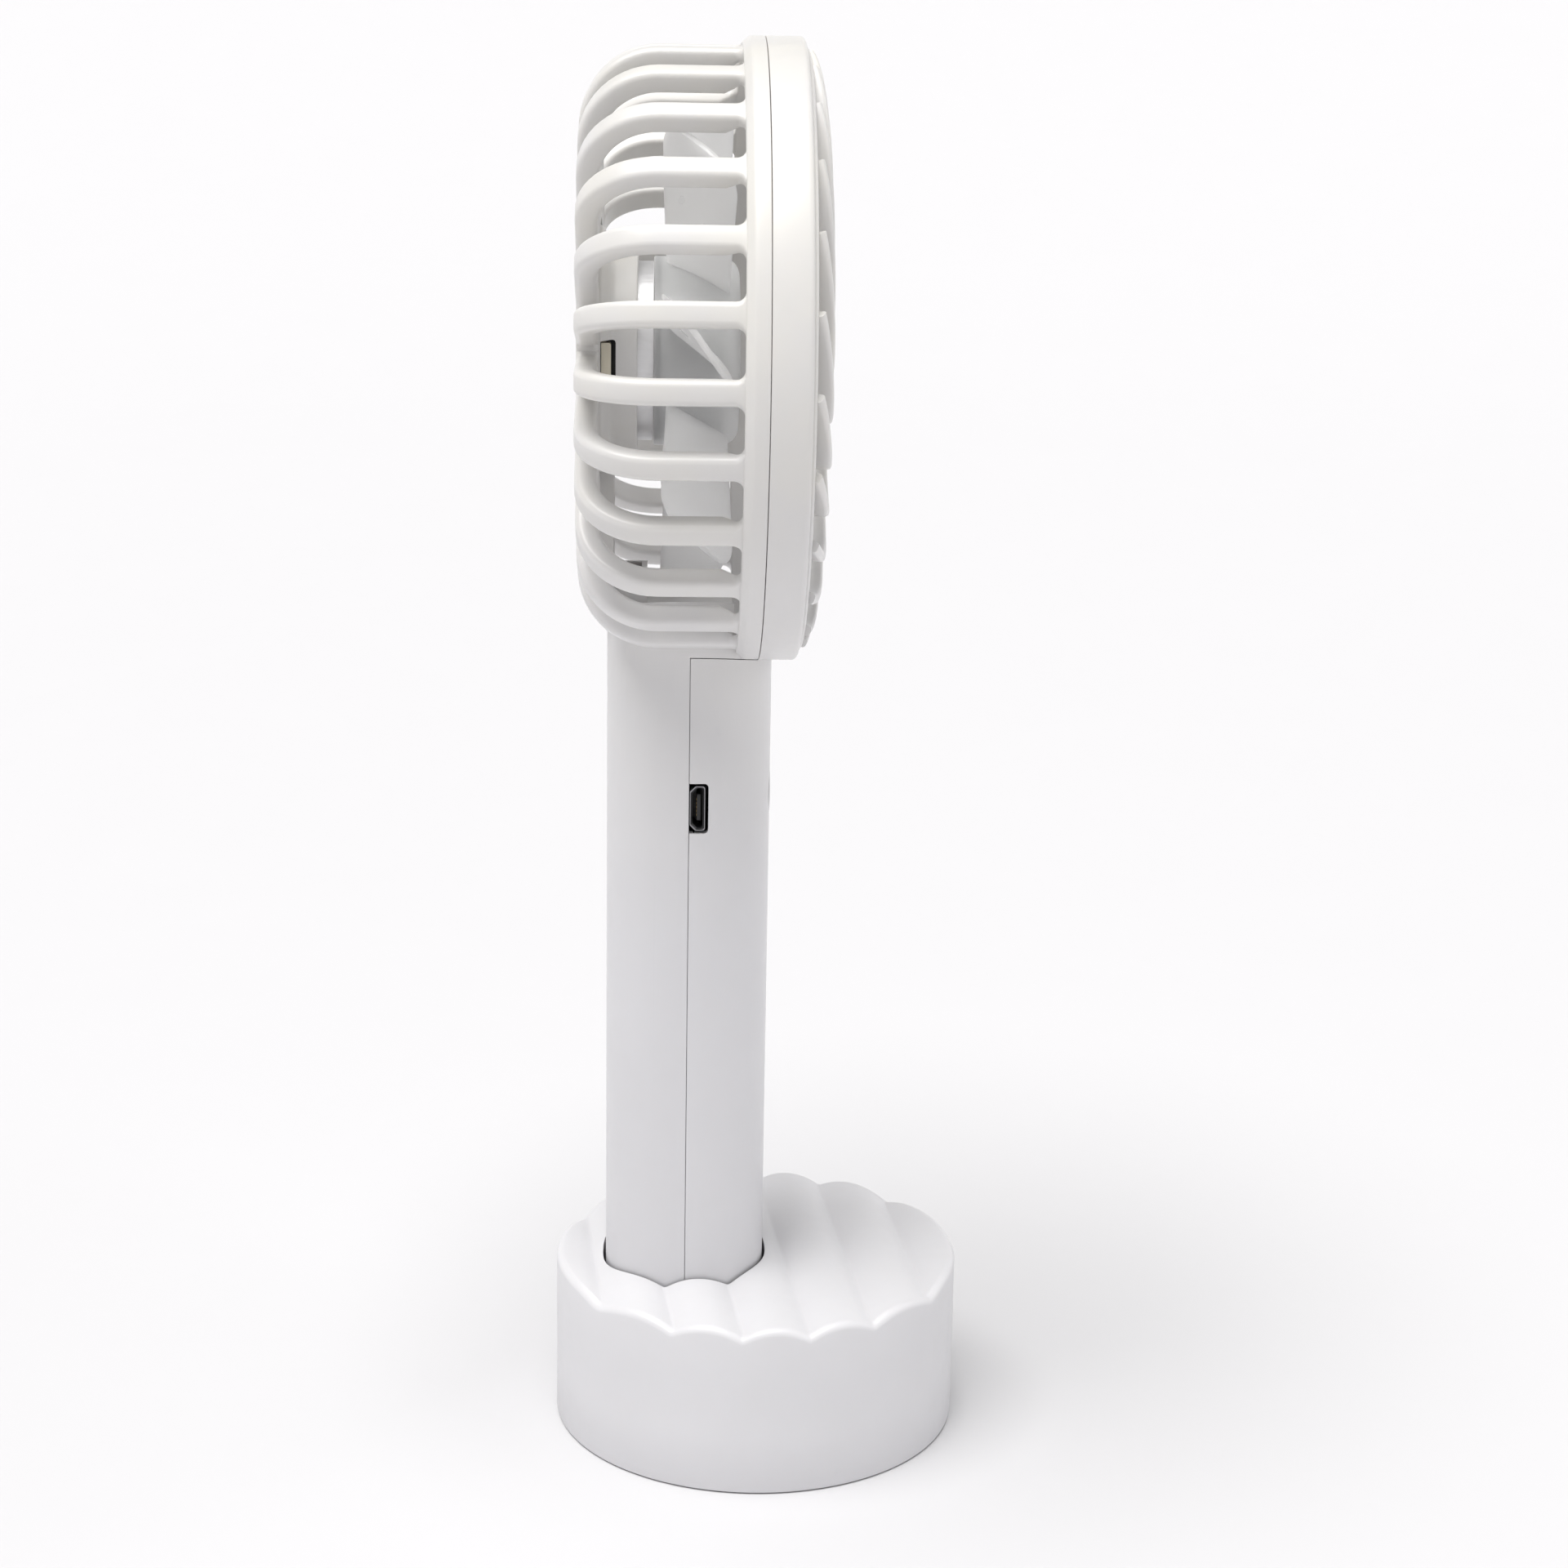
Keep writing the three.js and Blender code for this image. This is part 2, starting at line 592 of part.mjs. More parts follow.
function impeller() {
  const skin = 1.4;
  const nose = 3;
  const hub = solid(
    turnedAboutX(
      [
        [HUB_FRONT - skin, 0],
        [HUB_FRONT - skin, HUB_RADIUS - nose - skin / 2],
        [HUB_FRONT - nose, HUB_RADIUS - skin],
        [HUB_REAR, HUB_RADIUS - skin],
        [HUB_REAR, HUB_RADIUS],
        ...arc(HUB_FRONT - nose, HUB_RADIUS - nose, nose, 90, 0, 3),
        [HUB_FRONT, 0],
      ],
      24,
    ),
  );
  const boss = solid(barX(FRONT_BUSH[1] + 0.4, HUB_FRONT - skin / 2, 2.6, SMALL_SIDES));
  const bore = solid(barX(HUB_REAR - 5, HUB_FRONT - skin, SHAFT_RADIUS + 0.05, SMALL_SIDES));
  const blades = Array.from({ length: BLADES }, (_, i) => solid(blade().rotateX((i / BLADES) * TURN)));
  return geometryOf(joined([hub, boss, ...blades]).subtract(bore));
}

// ---- Handle's contents --------------------------------------------------------------------

function batteryCell() {
  const [bottom, top] = CELL_Z;
  return turnedAboutZ(
    [
      [bottom, 0],
      [bottom, CELL_RADIUS - 0.6],
      [bottom + 0.6, CELL_RADIUS],
      [top - 1.6, CELL_RADIUS],
      [top - 1, CELL_RADIUS - 0.8],
      [top - 1, 3],
      [top, 3],
      [top, 0],
    ],
    24,
  );
}

// The folded steel shell of the micro-USB socket, open at its mouth, which is on the -Y side.
const USB_MOUTH = -HANDLE_HALF_Y + 0.3;
const USB_FRONT = BOARD_FACE + 0.1 + USB_HEIGHT;

function usbOutline(inset) {
  const half = USB_LENGTH / 2 - inset;
  const low = BOARD_FACE + 0.1 + inset;
  const high = USB_FRONT - inset;
  const slope = 0.9;
  return new THREE.Shape()
    .moveTo(low, -half + slope)
    .lineTo(low + slope, -half)
    .lineTo(high, -half)
    .lineTo(high, half)
    .lineTo(low + slope, half)
    .lineTo(low, half - slope);
}

function usbShell() {
  const upright = (shape, depth) =>
    new THREE.ExtrudeGeometry(shape, { depth, bevelEnabled: false }).rotateX(-TURN / 4);
  const outside = solid(upright(usbOutline(0), USB_DEPTH).translate(0, USB_MOUTH, USB_Z));
  const inside = solid(upright(usbOutline(0.3), USB_DEPTH).translate(0, USB_MOUTH - 0.4, USB_Z));
  return geometryOf(outside.subtract(inside));
}

function usbTongue() {
  const middle = BOARD_FACE + 0.1 + USB_HEIGHT / 2 + 0.2;
  const back = USB_MOUTH + USB_DEPTH - 0.5;
  return block([middle - 0.3, middle + 0.3], [USB_MOUTH + 0.8, back], [USB_Z - 2.3, USB_Z + 2.3]);
}

const SWITCH_HEIGHT = 3.5;
const PLUNGER_END = BOARD_FACE + SWITCH_HEIGHT + 0.5; // leaves room for the button's travel
const STEM_END = PLUNGER_END + 0.8;

// The button's domed cap, its flange inside the wall, and its stem down to the switch.
function powerButton() {
  const wallInside = HANDLE_HALF_X - WALL;
  const flange = [wallInside - 2.2, wallInside - 1.1];
  const face = HANDLE_HALF_X;
  return turnedAboutX(
    [
      [STEM_END, 0],
      [STEM_END, 1.5],
      [flange[0], 1.5],
      [flange[0], BUTTON_RADIUS + 1],
      [flange[1], BUTTON_RADIUS + 1],
      [flange[1], BUTTON_RADIUS],
      [face - 0.3, BUTTON_RADIUS],
      [face, BUTTON_RADIUS - 0.5],
      [face - 0.1, BUTTON_RADIUS - 1.4],
      [face - 0.35, 0],
    ],
    24,
  );
}

const onBoard = (height, width, length, y, z) =>
  block(
    [BOARD_FACE + 0.05, BOARD_FACE + height],
    [y - width / 2, y + width / 2],
    [z - length / 2, z + length / 2],
  );

const WIRE_X = -10.3;
const GROOVE_X = -14;
const TERMINAL_Z = HEAD_Z - MOTOR_RADIUS - 1.4;
const TAB_THICKNESS = 0.3;

const motorWire = (y) => [
  [-3, y * 4.4, BOARD_Z[1] - 3],
  [-5, y * 4.8, BOARD_Z[1] + 5],
  [-8.2, y * 4, BOARD_Z[1] + 12],
  [WIRE_X, y * 1.4, 141.5],
  [-13.2, y, 147.5],
  [GROOVE_X, y, 154],
  [GROOVE_X, y, 164],
  [GROOVE_X - 0.2, y, TERMINAL_Z - 2.2],
];

const cellTopWire = [
  [-3, 2, CELL_Z[1] + 1.6],
  [-4.4, 4, CELL_Z[1] + 3.5],
  [-4, 6, BOARD_Z[0] + 2],
  [-2.2, 6, BOARD_Z[0] + 4],
];

const cellBottomWire = [
  [-4, 0, CELL_Z[0] - 1.6],
  [-9.8, 0, CELL_Z[0] - 2],
  [-10.6, 0, CELL_Z[0] + 2],
  [-10.6, 0, 60],
  [-10.6, 0, CELL_Z[1] - 3],
  [-7, -3, BOARD_Z[0] + 2],
  [-2.2, -5, BOARD_Z[0] + 5],
];

// ---- Assembly -----------------------------------------------------------------------------

function part(name, geometry, finishName) {
  geometry.computeVertexNormals();
  const mesh = new THREE.Mesh(geometry, FINISHES[finishName]());
  mesh.name = name;
  return mesh;
}

const stand = new THREE.Group();
stand.add(
  part("base_shell", baseShell(), "white_plastic"),
  part("base_bottom_cover", baseBottomCover(), "white_plastic"),
  part("anti_slip_pad", barZ(0, PAD_THICKNESS, 31, BASE_SIDES), "rubber"),
);
screwPlaces.forEach(([x, y], i) => {
  const mesh = part(`base_screw_${i + 1}`, screw(2.5, 1.2, 0.95, 10), "steel");
  mesh.rotation.y = -TURN / 4;
  mesh.position.set(x, y, SCREW_SEAT - 0.05);
  stand.add(mesh);
});

const fan = new THREE.Group();
fan.position.x = HANDLE_X;
fan.add(
  part("rear_handle", rearHandle(), "white_plastic"),
  part("rear_cage", rearCage(), "white_plastic"),
  part("front_housing", frontHousing(), "white_plastic"),
  part("battery_cell", batteryCell(), "cell_wrap"),
  part("battery_tab_top", block([-3.5, 2.5], [-2.5, 2.5], [CELL_Z[1] + 0.1, CELL_Z[1] + 0.4]), "steel"),
  part("battery_tab_bottom", block([-4.5, 3], [-2.5, 2.5], [CELL_Z[0] - 0.4, CELL_Z[0] - 0.1]), "steel"),
  part(
    "circuit_board",
    block([BOARD_FACE - BOARD_THICKNESS, BOARD_FACE], [-BOARD_HALF_WIDTH, BOARD_HALF_WIDTH], BOARD_Z),
    "board",
  ),
  part("charging_socket_shell", usbShell(), "steel"),
  part("charging_socket_tongue", usbTongue(), "black_plastic"),
  part("switch_body", onBoard(SWITCH_HEIGHT, 6, 6, 0, BUTTON_Z), "black_plastic"),
  part("charger_chip", onBoard(1.5, 4, 5, 7.5, 106), "black_plastic"),
  part("boost_inductor", onBoard(2.8, 5, 5, 7.5, 115), "ferrite"),
  part("capacitor", onBoard(1.2, 1.6, 3.2, 5, 121.5), "cream_plastic"),
  part("indicator_led", onBoard(1, 1.4, 2, 0, LIGHT_Z), "cream_plastic"),
  part(
    "indicator_light_pipe",
    barX(BOARD_FACE + 1.3, HANDLE_HALF_X - 0.15, LIGHT_RADIUS, 12).translate(0, 0, LIGHT_Z),
    "clear_plastic",
  ),
  part("motor_wire_red", wire(motorWire(1.1)), "red_wire"),
  part("motor_wire_black", wire(motorWire(-1.1)), "black_wire"),
  part("battery_wire_red", wire(cellTopWire), "red_wire"),
  part("battery_wire_black", wire(cellBottomWire), "black_wire"),
);
HOUSING_SCREW_Z.forEach((z, i) => {
  const mesh = part(`housing_screw_${i + 1}`, screw(2.1, 1.5, 0.9, 12.5), "steel");
  mesh.position.set(-5.1, 0, z);
  fan.add(mesh);
});

const button = new THREE.Group();
button.position.z = BUTTON_Z;
button.add(
  part("power_button", powerButton(), "white_plastic"),
  part("switch_plunger", barX(PLUNGER_END, STEM_END - 0.1, 1.7, SMALL_SIDES), "black_plastic"),
);
fan.add(button);

const head = new THREE.Group();
head.position.z = HEAD_Z;
const capFace = domeFace(GRILLE_HUB_RADIUS);
head.add(
  part("front_grille", frontGrille(), "white_plastic"),
  part("grille_centre_cap", barX(capFace - 1, capFace + 0.2, GRILLE_CAP_RADIUS, 32), "white_plastic"),
  part("motor_can", motorCan(), "steel"),
  part("motor_end_cap", motorEndCap(), "cream_plastic"),
  part("motor_magnet", tubeX(MOTOR_REAR + 0.3, MOTOR_FRONT - 1.2, 10.6, 13.3, 24), "ferrite"),
  part("front_bush", bush(FRONT_BUSH), "bronze"),
  part("rear_bush", bush(REAR_BUSH), "bronze"),
  part("motor_shaft", barX(REAR_BUSH[0] + 0.3, HUB_FRONT - 1.7, SHAFT_RADIUS, SMALL_SIDES), "steel"),
  part("armature", tubeX(MOTOR_REAR + 1.2, MOTOR_FRONT - 2, SHAFT_RADIUS + 0.1, 10, 24), "copper"),
  part("impeller", impeller(), "clear_plastic"),
);
[-1, 1].forEach((side) => {
  const name = side > 0 ? "motor_terminal_positive" : "motor_terminal_negative";
  const top = -MOTOR_RADIUS - 0.1;
  const width = [side * 1.2 - 0.8, side * 1.2 + 0.8];
  const tab = block([-15, -15 + TAB_THICKNESS], width, [top - 3, top]);
  head.add(part(name, tab, "copper"));
});
fan.add(head);

const handheldFan = new THREE.Group();
handheldFan.add(stand, fan);
export default handheldFan;
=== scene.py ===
"""The looks of a handheld electric fan in its desk base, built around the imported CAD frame.

Shapes are worked out in millimetres and written to Blender in metres.
"""
import json
import math

import bmesh
import bpy
from mathutils import Matrix, Vector


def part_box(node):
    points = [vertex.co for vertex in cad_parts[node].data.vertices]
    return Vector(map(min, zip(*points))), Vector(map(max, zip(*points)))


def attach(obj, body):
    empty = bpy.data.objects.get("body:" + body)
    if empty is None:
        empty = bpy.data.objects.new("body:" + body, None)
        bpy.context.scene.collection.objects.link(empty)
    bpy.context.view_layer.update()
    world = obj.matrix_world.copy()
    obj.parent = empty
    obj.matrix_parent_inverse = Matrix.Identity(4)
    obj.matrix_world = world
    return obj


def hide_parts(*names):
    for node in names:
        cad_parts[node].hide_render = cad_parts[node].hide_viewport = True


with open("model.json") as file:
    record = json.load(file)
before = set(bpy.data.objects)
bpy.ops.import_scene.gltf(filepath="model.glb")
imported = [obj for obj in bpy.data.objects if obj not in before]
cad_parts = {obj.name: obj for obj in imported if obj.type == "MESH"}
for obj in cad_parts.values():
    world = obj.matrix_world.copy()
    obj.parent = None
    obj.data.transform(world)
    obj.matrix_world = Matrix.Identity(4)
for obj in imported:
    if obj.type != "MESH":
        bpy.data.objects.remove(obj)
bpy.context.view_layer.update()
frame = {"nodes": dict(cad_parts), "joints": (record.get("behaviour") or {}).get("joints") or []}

MM = 0.001
TAU = 2 * math.pi


def corners(node):
    """A CAD node's lowest and highest corners."""
    low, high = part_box(node)
    return low / MM, high / MM


# ---- Driving dimensions, in millimetres ----

spin = next(j for j in frame["joints"] if j["name"] == "impeller_spin")
HANDLE_X = spin["pos_m"][0] / MM
HEAD_Z = spin["pos_m"][2] / MM

handle_low, handle_high = corners("rear_handle")
HANDLE_BOTTOM = handle_low.z
HANDLE_HALF_X = HANDLE_X - handle_low.x
HANDLE_HALF_Y = handle_high.y
HANDLE_SQUARENESS = 2.5
HEAD_RADIUS = corners("front_housing")[1].y
BASE_RADIUS = corners("base_shell")[1].x
BASE_WALL_BOTTOM = corners("base_shell")[0].z

SEAM = 0.12
WALL = 1.8
LIP_INSET = 0.5
LIP_LENGTH = 0.7
HANDLE_EDGE = 1.4
NECK_RADIUS = 41.2
NECK_FRONT = 7

CAGE_RIBS = 26
CAGE_RIB_RADIUS = 48.6
CAGE_FIRST_RIB = -1.06  # degrees from -Y towards +Z
CAGE_RIB_WIDTH = 3.9
CAGE_RIB_DEPTH = 3.5
CAGE_RING_REAR = 7.35
CAGE_RING_INNER = 46.6
CAGE_BACK = -18.3
CAGE_CORNER = 12.8
BACK_DISC_RADIUS = 22
HOUSING_SPLIT = 11.05
FRONT_RING_FACE = 17.4
FRONT_RING_INNER = 48.7

CUP_INNER = 14.8
CUP_OUTER = 17
CUP_FOOT = 20
CUP_FRONT = -8.8
MOTOR_RADIUS = 14.4

WAVE_PITCH = 11
WAVE_CREST = 29.9
WAVE_VALLEY = 28
WAVE_PHASE = 4.6
WAVE_TURN = math.radians(5.5)
WALL_DROP = 0.35  # the wall reaches this much lower than the CAD's, for a thin shadow line


# ---- Camera ----

def add_camera():
    """Looks from the charging socket's side, level with the top of the head and tipped down."""
    place = Vector((-18.15, -480.66, 239.78)) * MM
    yaw, pitch, roll = 0.045, -0.256, 0.018
    ahead_of_camera = Vector((math.sin(yaw), math.cos(yaw), 0))
    forward = ahead_of_camera * math.cos(pitch) + Vector((0, 0, math.sin(pitch)))
    level_right = Vector((math.cos(yaw), -math.sin(yaw), 0))
    level_up = level_right.cross(forward)
    right = level_right * math.cos(roll) + level_up * math.sin(roll)
    up = level_up * math.cos(roll) - level_right * math.sin(roll)
    data = bpy.data.cameras.new("camera")
    data.sensor_width = 36
    data.lens = 67.5
    data.clip_start = 0.01
    data.clip_end = 20
    camera = bpy.data.objects.new("camera", data)
    bpy.context.scene.collection.objects.link(camera)
    turned_axes = Matrix((right, up, -forward)).transposed().to_4x4()
    camera.matrix_world = Matrix.Translation(place) @ turned_axes
    bpy.context.scene.camera = camera


add_camera()


# ---- Shapes: closed shells as (points, faces), in millimetres ----

def rounded(points, steps=4):
    """A closed outline from (a, b, radius) corners, each rounded to its radius."""
    outline = []
    count = len(points)
    for i, (a, b, radius) in enumerate(points):
        corner = Vector((a, b))
        if radius == 0:
            outline.append((a, b))
            continue
        before = (Vector(points[i - 1][:2]) - corner).normalized()
        after = (Vector(points[(i + 1) % count][:2]) - corner).normalized()
        half = before.angle(after) / 2
        centre = corner + (before + after).normalized() * radius / math.sin(half)
        start = corner + before * radius / math.tan(half) - centre
        sweep = start.angle_signed(corner + after * radius / math.tan(half) - centre)
        for k in range(steps + 1):
            turned_point = Matrix.Rotation(-sweep * k / steps, 2) @ start + centre
            outline.append(tuple(turned_point))
    return outline


def round_x(x, radius, angle):
    """A point about the fan's axis; the angle runs from -Y towards +Z."""
    return (HANDLE_X + x, -radius * math.cos(angle), HEAD_Z + radius * math.sin(angle))


def round_z(z, radius, angle):
    """A point about the base's axis."""
    return (radius * math.cos(angle), radius * math.sin(angle), z)


def turn_profile(profile, sides, place=round_x):
    """A shell turned from (along, radius) corners, which start on the axis or form a ring."""
    ring = profile[0][1] > 0
    points, rows, faces = [], [], []
    for along, radius in profile:
        if radius == 0:
            rows.append([len(points)] * sides)
            points.append(place(along, 0, 0))
        else:
            rows.append(range(len(points), len(points) + sides))
            points += [place(along, radius, TAU * i / sides) for i in range(sides)]
    following = rows[1:] + rows[:1] if ring else rows[1:]
    for near, far in zip(rows, following):
        for i in range(sides):
            j = (i + 1) % sides
            face = list(dict.fromkeys((near[i], near[j], far[j], far[i])))
            if len(face) > 2:
                faces.append(face)
    return points, faces


def loft(rings):
    """A shell through rings of points, closed by a face at each end."""
    sides = len(rings[0])
    points = [p for ring in rings for p in ring]
    faces = [list(range(sides)), list(range(len(points) - sides, len(points)))]
    for row in range(len(rings) - 1):
        near, far = row * sides, (row + 1) * sides
        for i in range(sides):
            j = (i + 1) % sides
            faces.append([near + i, near + j, far + j, far + i])
    return points, faces


def block(x_span, y_span, z_span):
    """A box between two values on each axis."""
    (x0, x1), (y0, y1) = x_span, y_span
    return loft([[(x0, y0, z), (x1, y0, z), (x1, y1, z), (x0, y1, z)] for z in z_span])


def bar_x(start, end, radius, sides=96):
    """A round bar along the fan's axis."""
    return turn_profile([(start, 0), (start, radius), (end, radius), (end, 0)], sides)


def turned_about(shell, degrees):
    """A shell turned about the fan's axis."""
    turn = Matrix.Rotation(-math.radians(degrees), 3, "X")
    centre = Vector((HANDLE_X, 0, HEAD_Z))
    points, faces = shell
    return [tuple(turn @ (Vector(p) - centre) + centre) for p in points], faces


def moved(shell, dx=0, dy=0, dz=0):
    points, faces = shell
    return [(x + dx, y + dy, z + dz) for x, y, z in points], faces


def together(shells):
    """Shells that don't touch each other as one."""
    points, faces = [], []
    for some_points, some_faces in shells:
        start = len(points)
        points += some_points
        faces += [[start + i for i in face] for face in some_faces]
    return points, faces


def mesh_of(shell):
    points, faces = shell
    mesh = bpy.data.meshes.new("shape")
    mesh.from_pydata([Vector(p) * MM for p in points], [], faces)
    work = bmesh.new()
    work.from_mesh(mesh)
    bmesh.ops.recalc_face_normals(work, faces=work.faces)
    work.to_mesh(mesh)
    work.free()
    return mesh


def combine(mesh, *steps):
    """A mesh joined with, cut by or kept inside closed shells, in order."""
    for operation, tool in steps:
        base_object = bpy.data.objects.new("base", mesh)
        tool_mesh = tool if isinstance(tool, bpy.types.Mesh) else mesh_of(tool)
        tool_object = bpy.data.objects.new("tool", tool_mesh)
        for obj in (base_object, tool_object):
            bpy.context.scene.collection.objects.link(obj)
        modifier = base_object.modifiers.new("combine", "BOOLEAN")
        modifier.operation = operation
        modifier.object = tool_object
        modifier.solver = "MANIFOLD"
        graph = bpy.context.evaluated_depsgraph_get()
        mesh = bpy.data.meshes.new_from_object(base_object.evaluated_get(graph), depsgraph=graph)
        for obj in (base_object, tool_object):
            bpy.data.objects.remove(obj)
    return mesh


def add_piece(name, mesh, body, material, replaced=(), sharp=32):
    """A mesh or shell as a finished piece: smooth but for its sharp edges, riding on its body."""
    if not isinstance(mesh, bpy.types.Mesh):
        mesh = mesh_of(mesh)
    mesh.name = name
    work = bmesh.new()
    work.from_mesh(mesh)
    for face in work.faces:
        face.smooth = True
    for edge in work.edges:
        edge.smooth = len(edge.link_faces) == 2 and edge.calc_face_angle(0) < math.radians(sharp)
    work.to_mesh(mesh)
    work.free()
    mesh.materials.clear()
    mesh.materials.append(material)
    piece = bpy.data.objects.new(name, mesh)
    bpy.context.scene.collection.objects.link(piece)
    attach(piece, body)
    if replaced:
        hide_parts(*replaced)


# ---- Materials ----

class Finish:
    """A node material around one Principled shader, its patterns in object space."""

    def __init__(self, name, color, roughness, metallic=0.0):
        self.material = bpy.data.materials.new(name)
        self.material.use_nodes = True
        self.tree = self.material.node_tree
        self.shader = self.tree.nodes["Principled BSDF"]
        self.set("Base Color", (*color, 1))
        self.set("Roughness", roughness)
        self.set("Metallic", metallic)
        self.place = self.node("ShaderNodeTexCoord").outputs["Object"]

    def set(self, socket, value):
        self.shader.inputs[socket].default_value = value

    def node(self, kind, **settings):
        made = self.tree.nodes.new(kind)
        for key, value in settings.items():
            setattr(made, key, value)
        return made

    def link(self, source, target):
        self.tree.links.new(source, target)

    def noise(self, size, detail=3, rough=0.5, stretch=(1, 1, 1)):
        """Noise whose features are about size millimetres across."""
        mapping = self.node("ShaderNodeMapping")
        mapping.inputs["Scale"].default_value = stretch
        self.link(self.place, mapping.inputs["Vector"])
        made = self.node("ShaderNodeTexNoise")
        made.inputs["Scale"].default_value = 1 / (size * MM)
        made.inputs["Detail"].default_value = detail
        made.inputs["Roughness"].default_value = rough
        self.link(mapping.outputs["Vector"], made.inputs["Vector"])
        return made.outputs["Fac"]

    def between(self, value, low, high, to_low, to_high):
        """value from low..high to to_low..to_high, held at the ends."""
        made = self.node("ShaderNodeMapRange")
        ends = {"From Min": low, "From Max": high, "To Min": to_low, "To Max": to_high}
        for socket, number in ends.items():
            made.inputs[socket].default_value = number
        self.link(value, made.inputs["Value"])
        return made.outputs["Result"]

    def math(self, operation, a, b):
        made = self.node("ShaderNodeMath", operation=operation)
        for socket, value in zip(made.inputs, (a, b)):
            if isinstance(value, (int, float)):
                socket.default_value = value
            else:
                self.link(value, socket)
        return made.outputs[0]

    def mix(self, factor, first, second):
        """Colours mixed by a factor; each is a colour or a socket."""
        made = self.node("ShaderNodeMix", data_type="RGBA")
        self.link(factor, made.inputs["Factor"])
        for socket, value in ((made.inputs[6], first), (made.inputs[7], second)):
            if isinstance(value, tuple):
                socket.default_value = (*value, 1)
            else:
                self.link(value, socket)
        return made.outputs[2]

    def paint(self, color):
        self.link(color, self.shader.inputs["Base Color"])

    def rough(self, value):
        self.link(value, self.shader.inputs["Roughness"])

    def bump(self, height, depth, below=None):
        """Relief of depth millimetres, on top of another bump if given."""
        made = self.node("ShaderNodeBump")
        made.inputs["Strength"].default_value = 1
        made.inputs["Distance"].default_value = depth * MM
        self.link(height, made.inputs["Height"])
        if below is not None:
            self.link(below, made.inputs["Normal"])
        self.link(made.outputs["Normal"], self.shader.inputs["Normal"])
        return made.outputs["Normal"]

    def specks(self, spacing, radius, share):
        """1 on a few small round specks, 0 elsewhere."""
        cells = self.node("ShaderNodeTexVoronoi")
        cells.inputs["Scale"].default_value = 1 / (spacing * MM)
        self.link(self.place, cells.inputs["Vector"])
        split = self.node("ShaderNodeSeparateColor")
        self.link(cells.outputs["Color"], split.inputs["Color"])
        edge = radius / spacing
        dot = self.between(cells.outputs["Distance"], edge * 0.6, edge, 1, 0)
        chosen = self.math("LESS_THAN", split.outputs["Red"], share)
        return self.math("MULTIPLY", dot, chosen)


def shade(color, factor):
    return tuple(channel * factor for channel in color)


def moulded_plastic(name, color, roughness, specks=0.035, subsurface=0.12, top_warm_light=None):
    """Smooth injection-moulded plastic: faint clouding, handling marks and a few dust specks.

    The colour given for the top is painted in towards the top as painted warm light, where the head gets
    the most light.
    """
    finish = Finish(name, color, roughness)
    finish.set("IOR", 1.5)
    finish.set("Subsurface Weight", subsurface)
    finish.set("Subsurface Radius", (1.0, 0.9, 0.8))
    finish.set("Subsurface Scale", 0.9 * MM)
    tinted = color
    # Painted warm light: the colour turns to the given warm tint from 0.09 m to 0.19 m up.
    if top_warm_light:
        split = finish.node("ShaderNodeSeparateXYZ")
        finish.link(finish.place, split.inputs["Vector"])
        tinted = finish.mix(finish.between(split.outputs["Z"], 0.09, 0.19, 0, 1), color, top_warm_light)
    clouds = finish.between(finish.noise(16, 3), 0.35, 0.7, 0, 0.5)
    tinted = finish.mix(clouds, tinted, shade(color, 0.96))
    grime = finish.between(finish.noise(6, 8, 0.7), 0.66, 0.82, 0, 0.35)
    tinted = finish.mix(grime, tinted, shade(color, 0.88))
    dust = finish.specks(9, 0.16, specks)
    finish.paint(finish.mix(dust, tinted, (0.2, 0.18, 0.17)))
    finish.rough(finish.between(finish.noise(3, 6, 0.65), 0.3, 0.75, roughness - 0.05, roughness + 0.1))
    waviness = finish.bump(finish.noise(11, 1), 0.05)
    finish.bump(finish.noise(0.35, 3), 0.006, waviness)
    return finish.material


def blade_plastic():
    """Milky blade plastic that lets some light through."""
    color = (0.985, 0.985, 0.985)
    finish = Finish("blade_plastic", color, 0.3)
    finish.set("IOR", 1.45)
    finish.set("Transmission Weight", 0.12)
    finish.set("Subsurface Weight", 1.0)
    finish.set("Subsurface Radius", (1.0, 0.98, 0.98))
    finish.set("Subsurface Scale", 8 * MM)
    flow = finish.between(finish.noise(12, 2), 0.35, 0.7, 0, 1)
    finish.paint(finish.mix(flow, color, shade(color, 0.97)))
    finish.rough(finish.between(finish.noise(6, 2), 0.3, 0.7, 0.27, 0.36))
    finish.bump(finish.noise(14, 1), 0.03)
    return finish.material


def plated_steel(name="plated_steel", color=(0.62, 0.63, 0.65), stretch=(1, 1, 0.08), roughness=0.3):
    """Bright plated steel with drawing lines and faint tarnish."""
    finish = Finish(name, color, roughness, 1.0)
    lines = finish.noise(0.5, 4, 0.6, stretch)
    stain = finish.between(finish.noise(4, 5), 0.5, 0.8, 0, 0.7)
    finish.paint(finish.mix(stain, color, shade(color, 0.78)))
    finish.rough(finish.between(lines, 0.3, 0.7, roughness - 0.08, roughness + 0.12))
    finish.bump(lines, 0.004)
    return finish.material


def sintered(name, color, roughness, metallic, grain=0.3):
    """Pressed powder metal or ferrite, with a fine open grain."""
    finish = Finish(name, color, roughness, metallic)
    speckle = finish.noise(grain, 4, 0.8)
    grains = finish.between(speckle, 0.4, 0.65, 0, 1)
    finish.paint(finish.mix(grains, shade(color, 0.65), shade(color, 1.3)))
    finish.rough(finish.between(speckle, 0.3, 0.7, roughness - 0.12, roughness + 0.12))
    finish.bump(speckle, 0.03)
    return finish.material


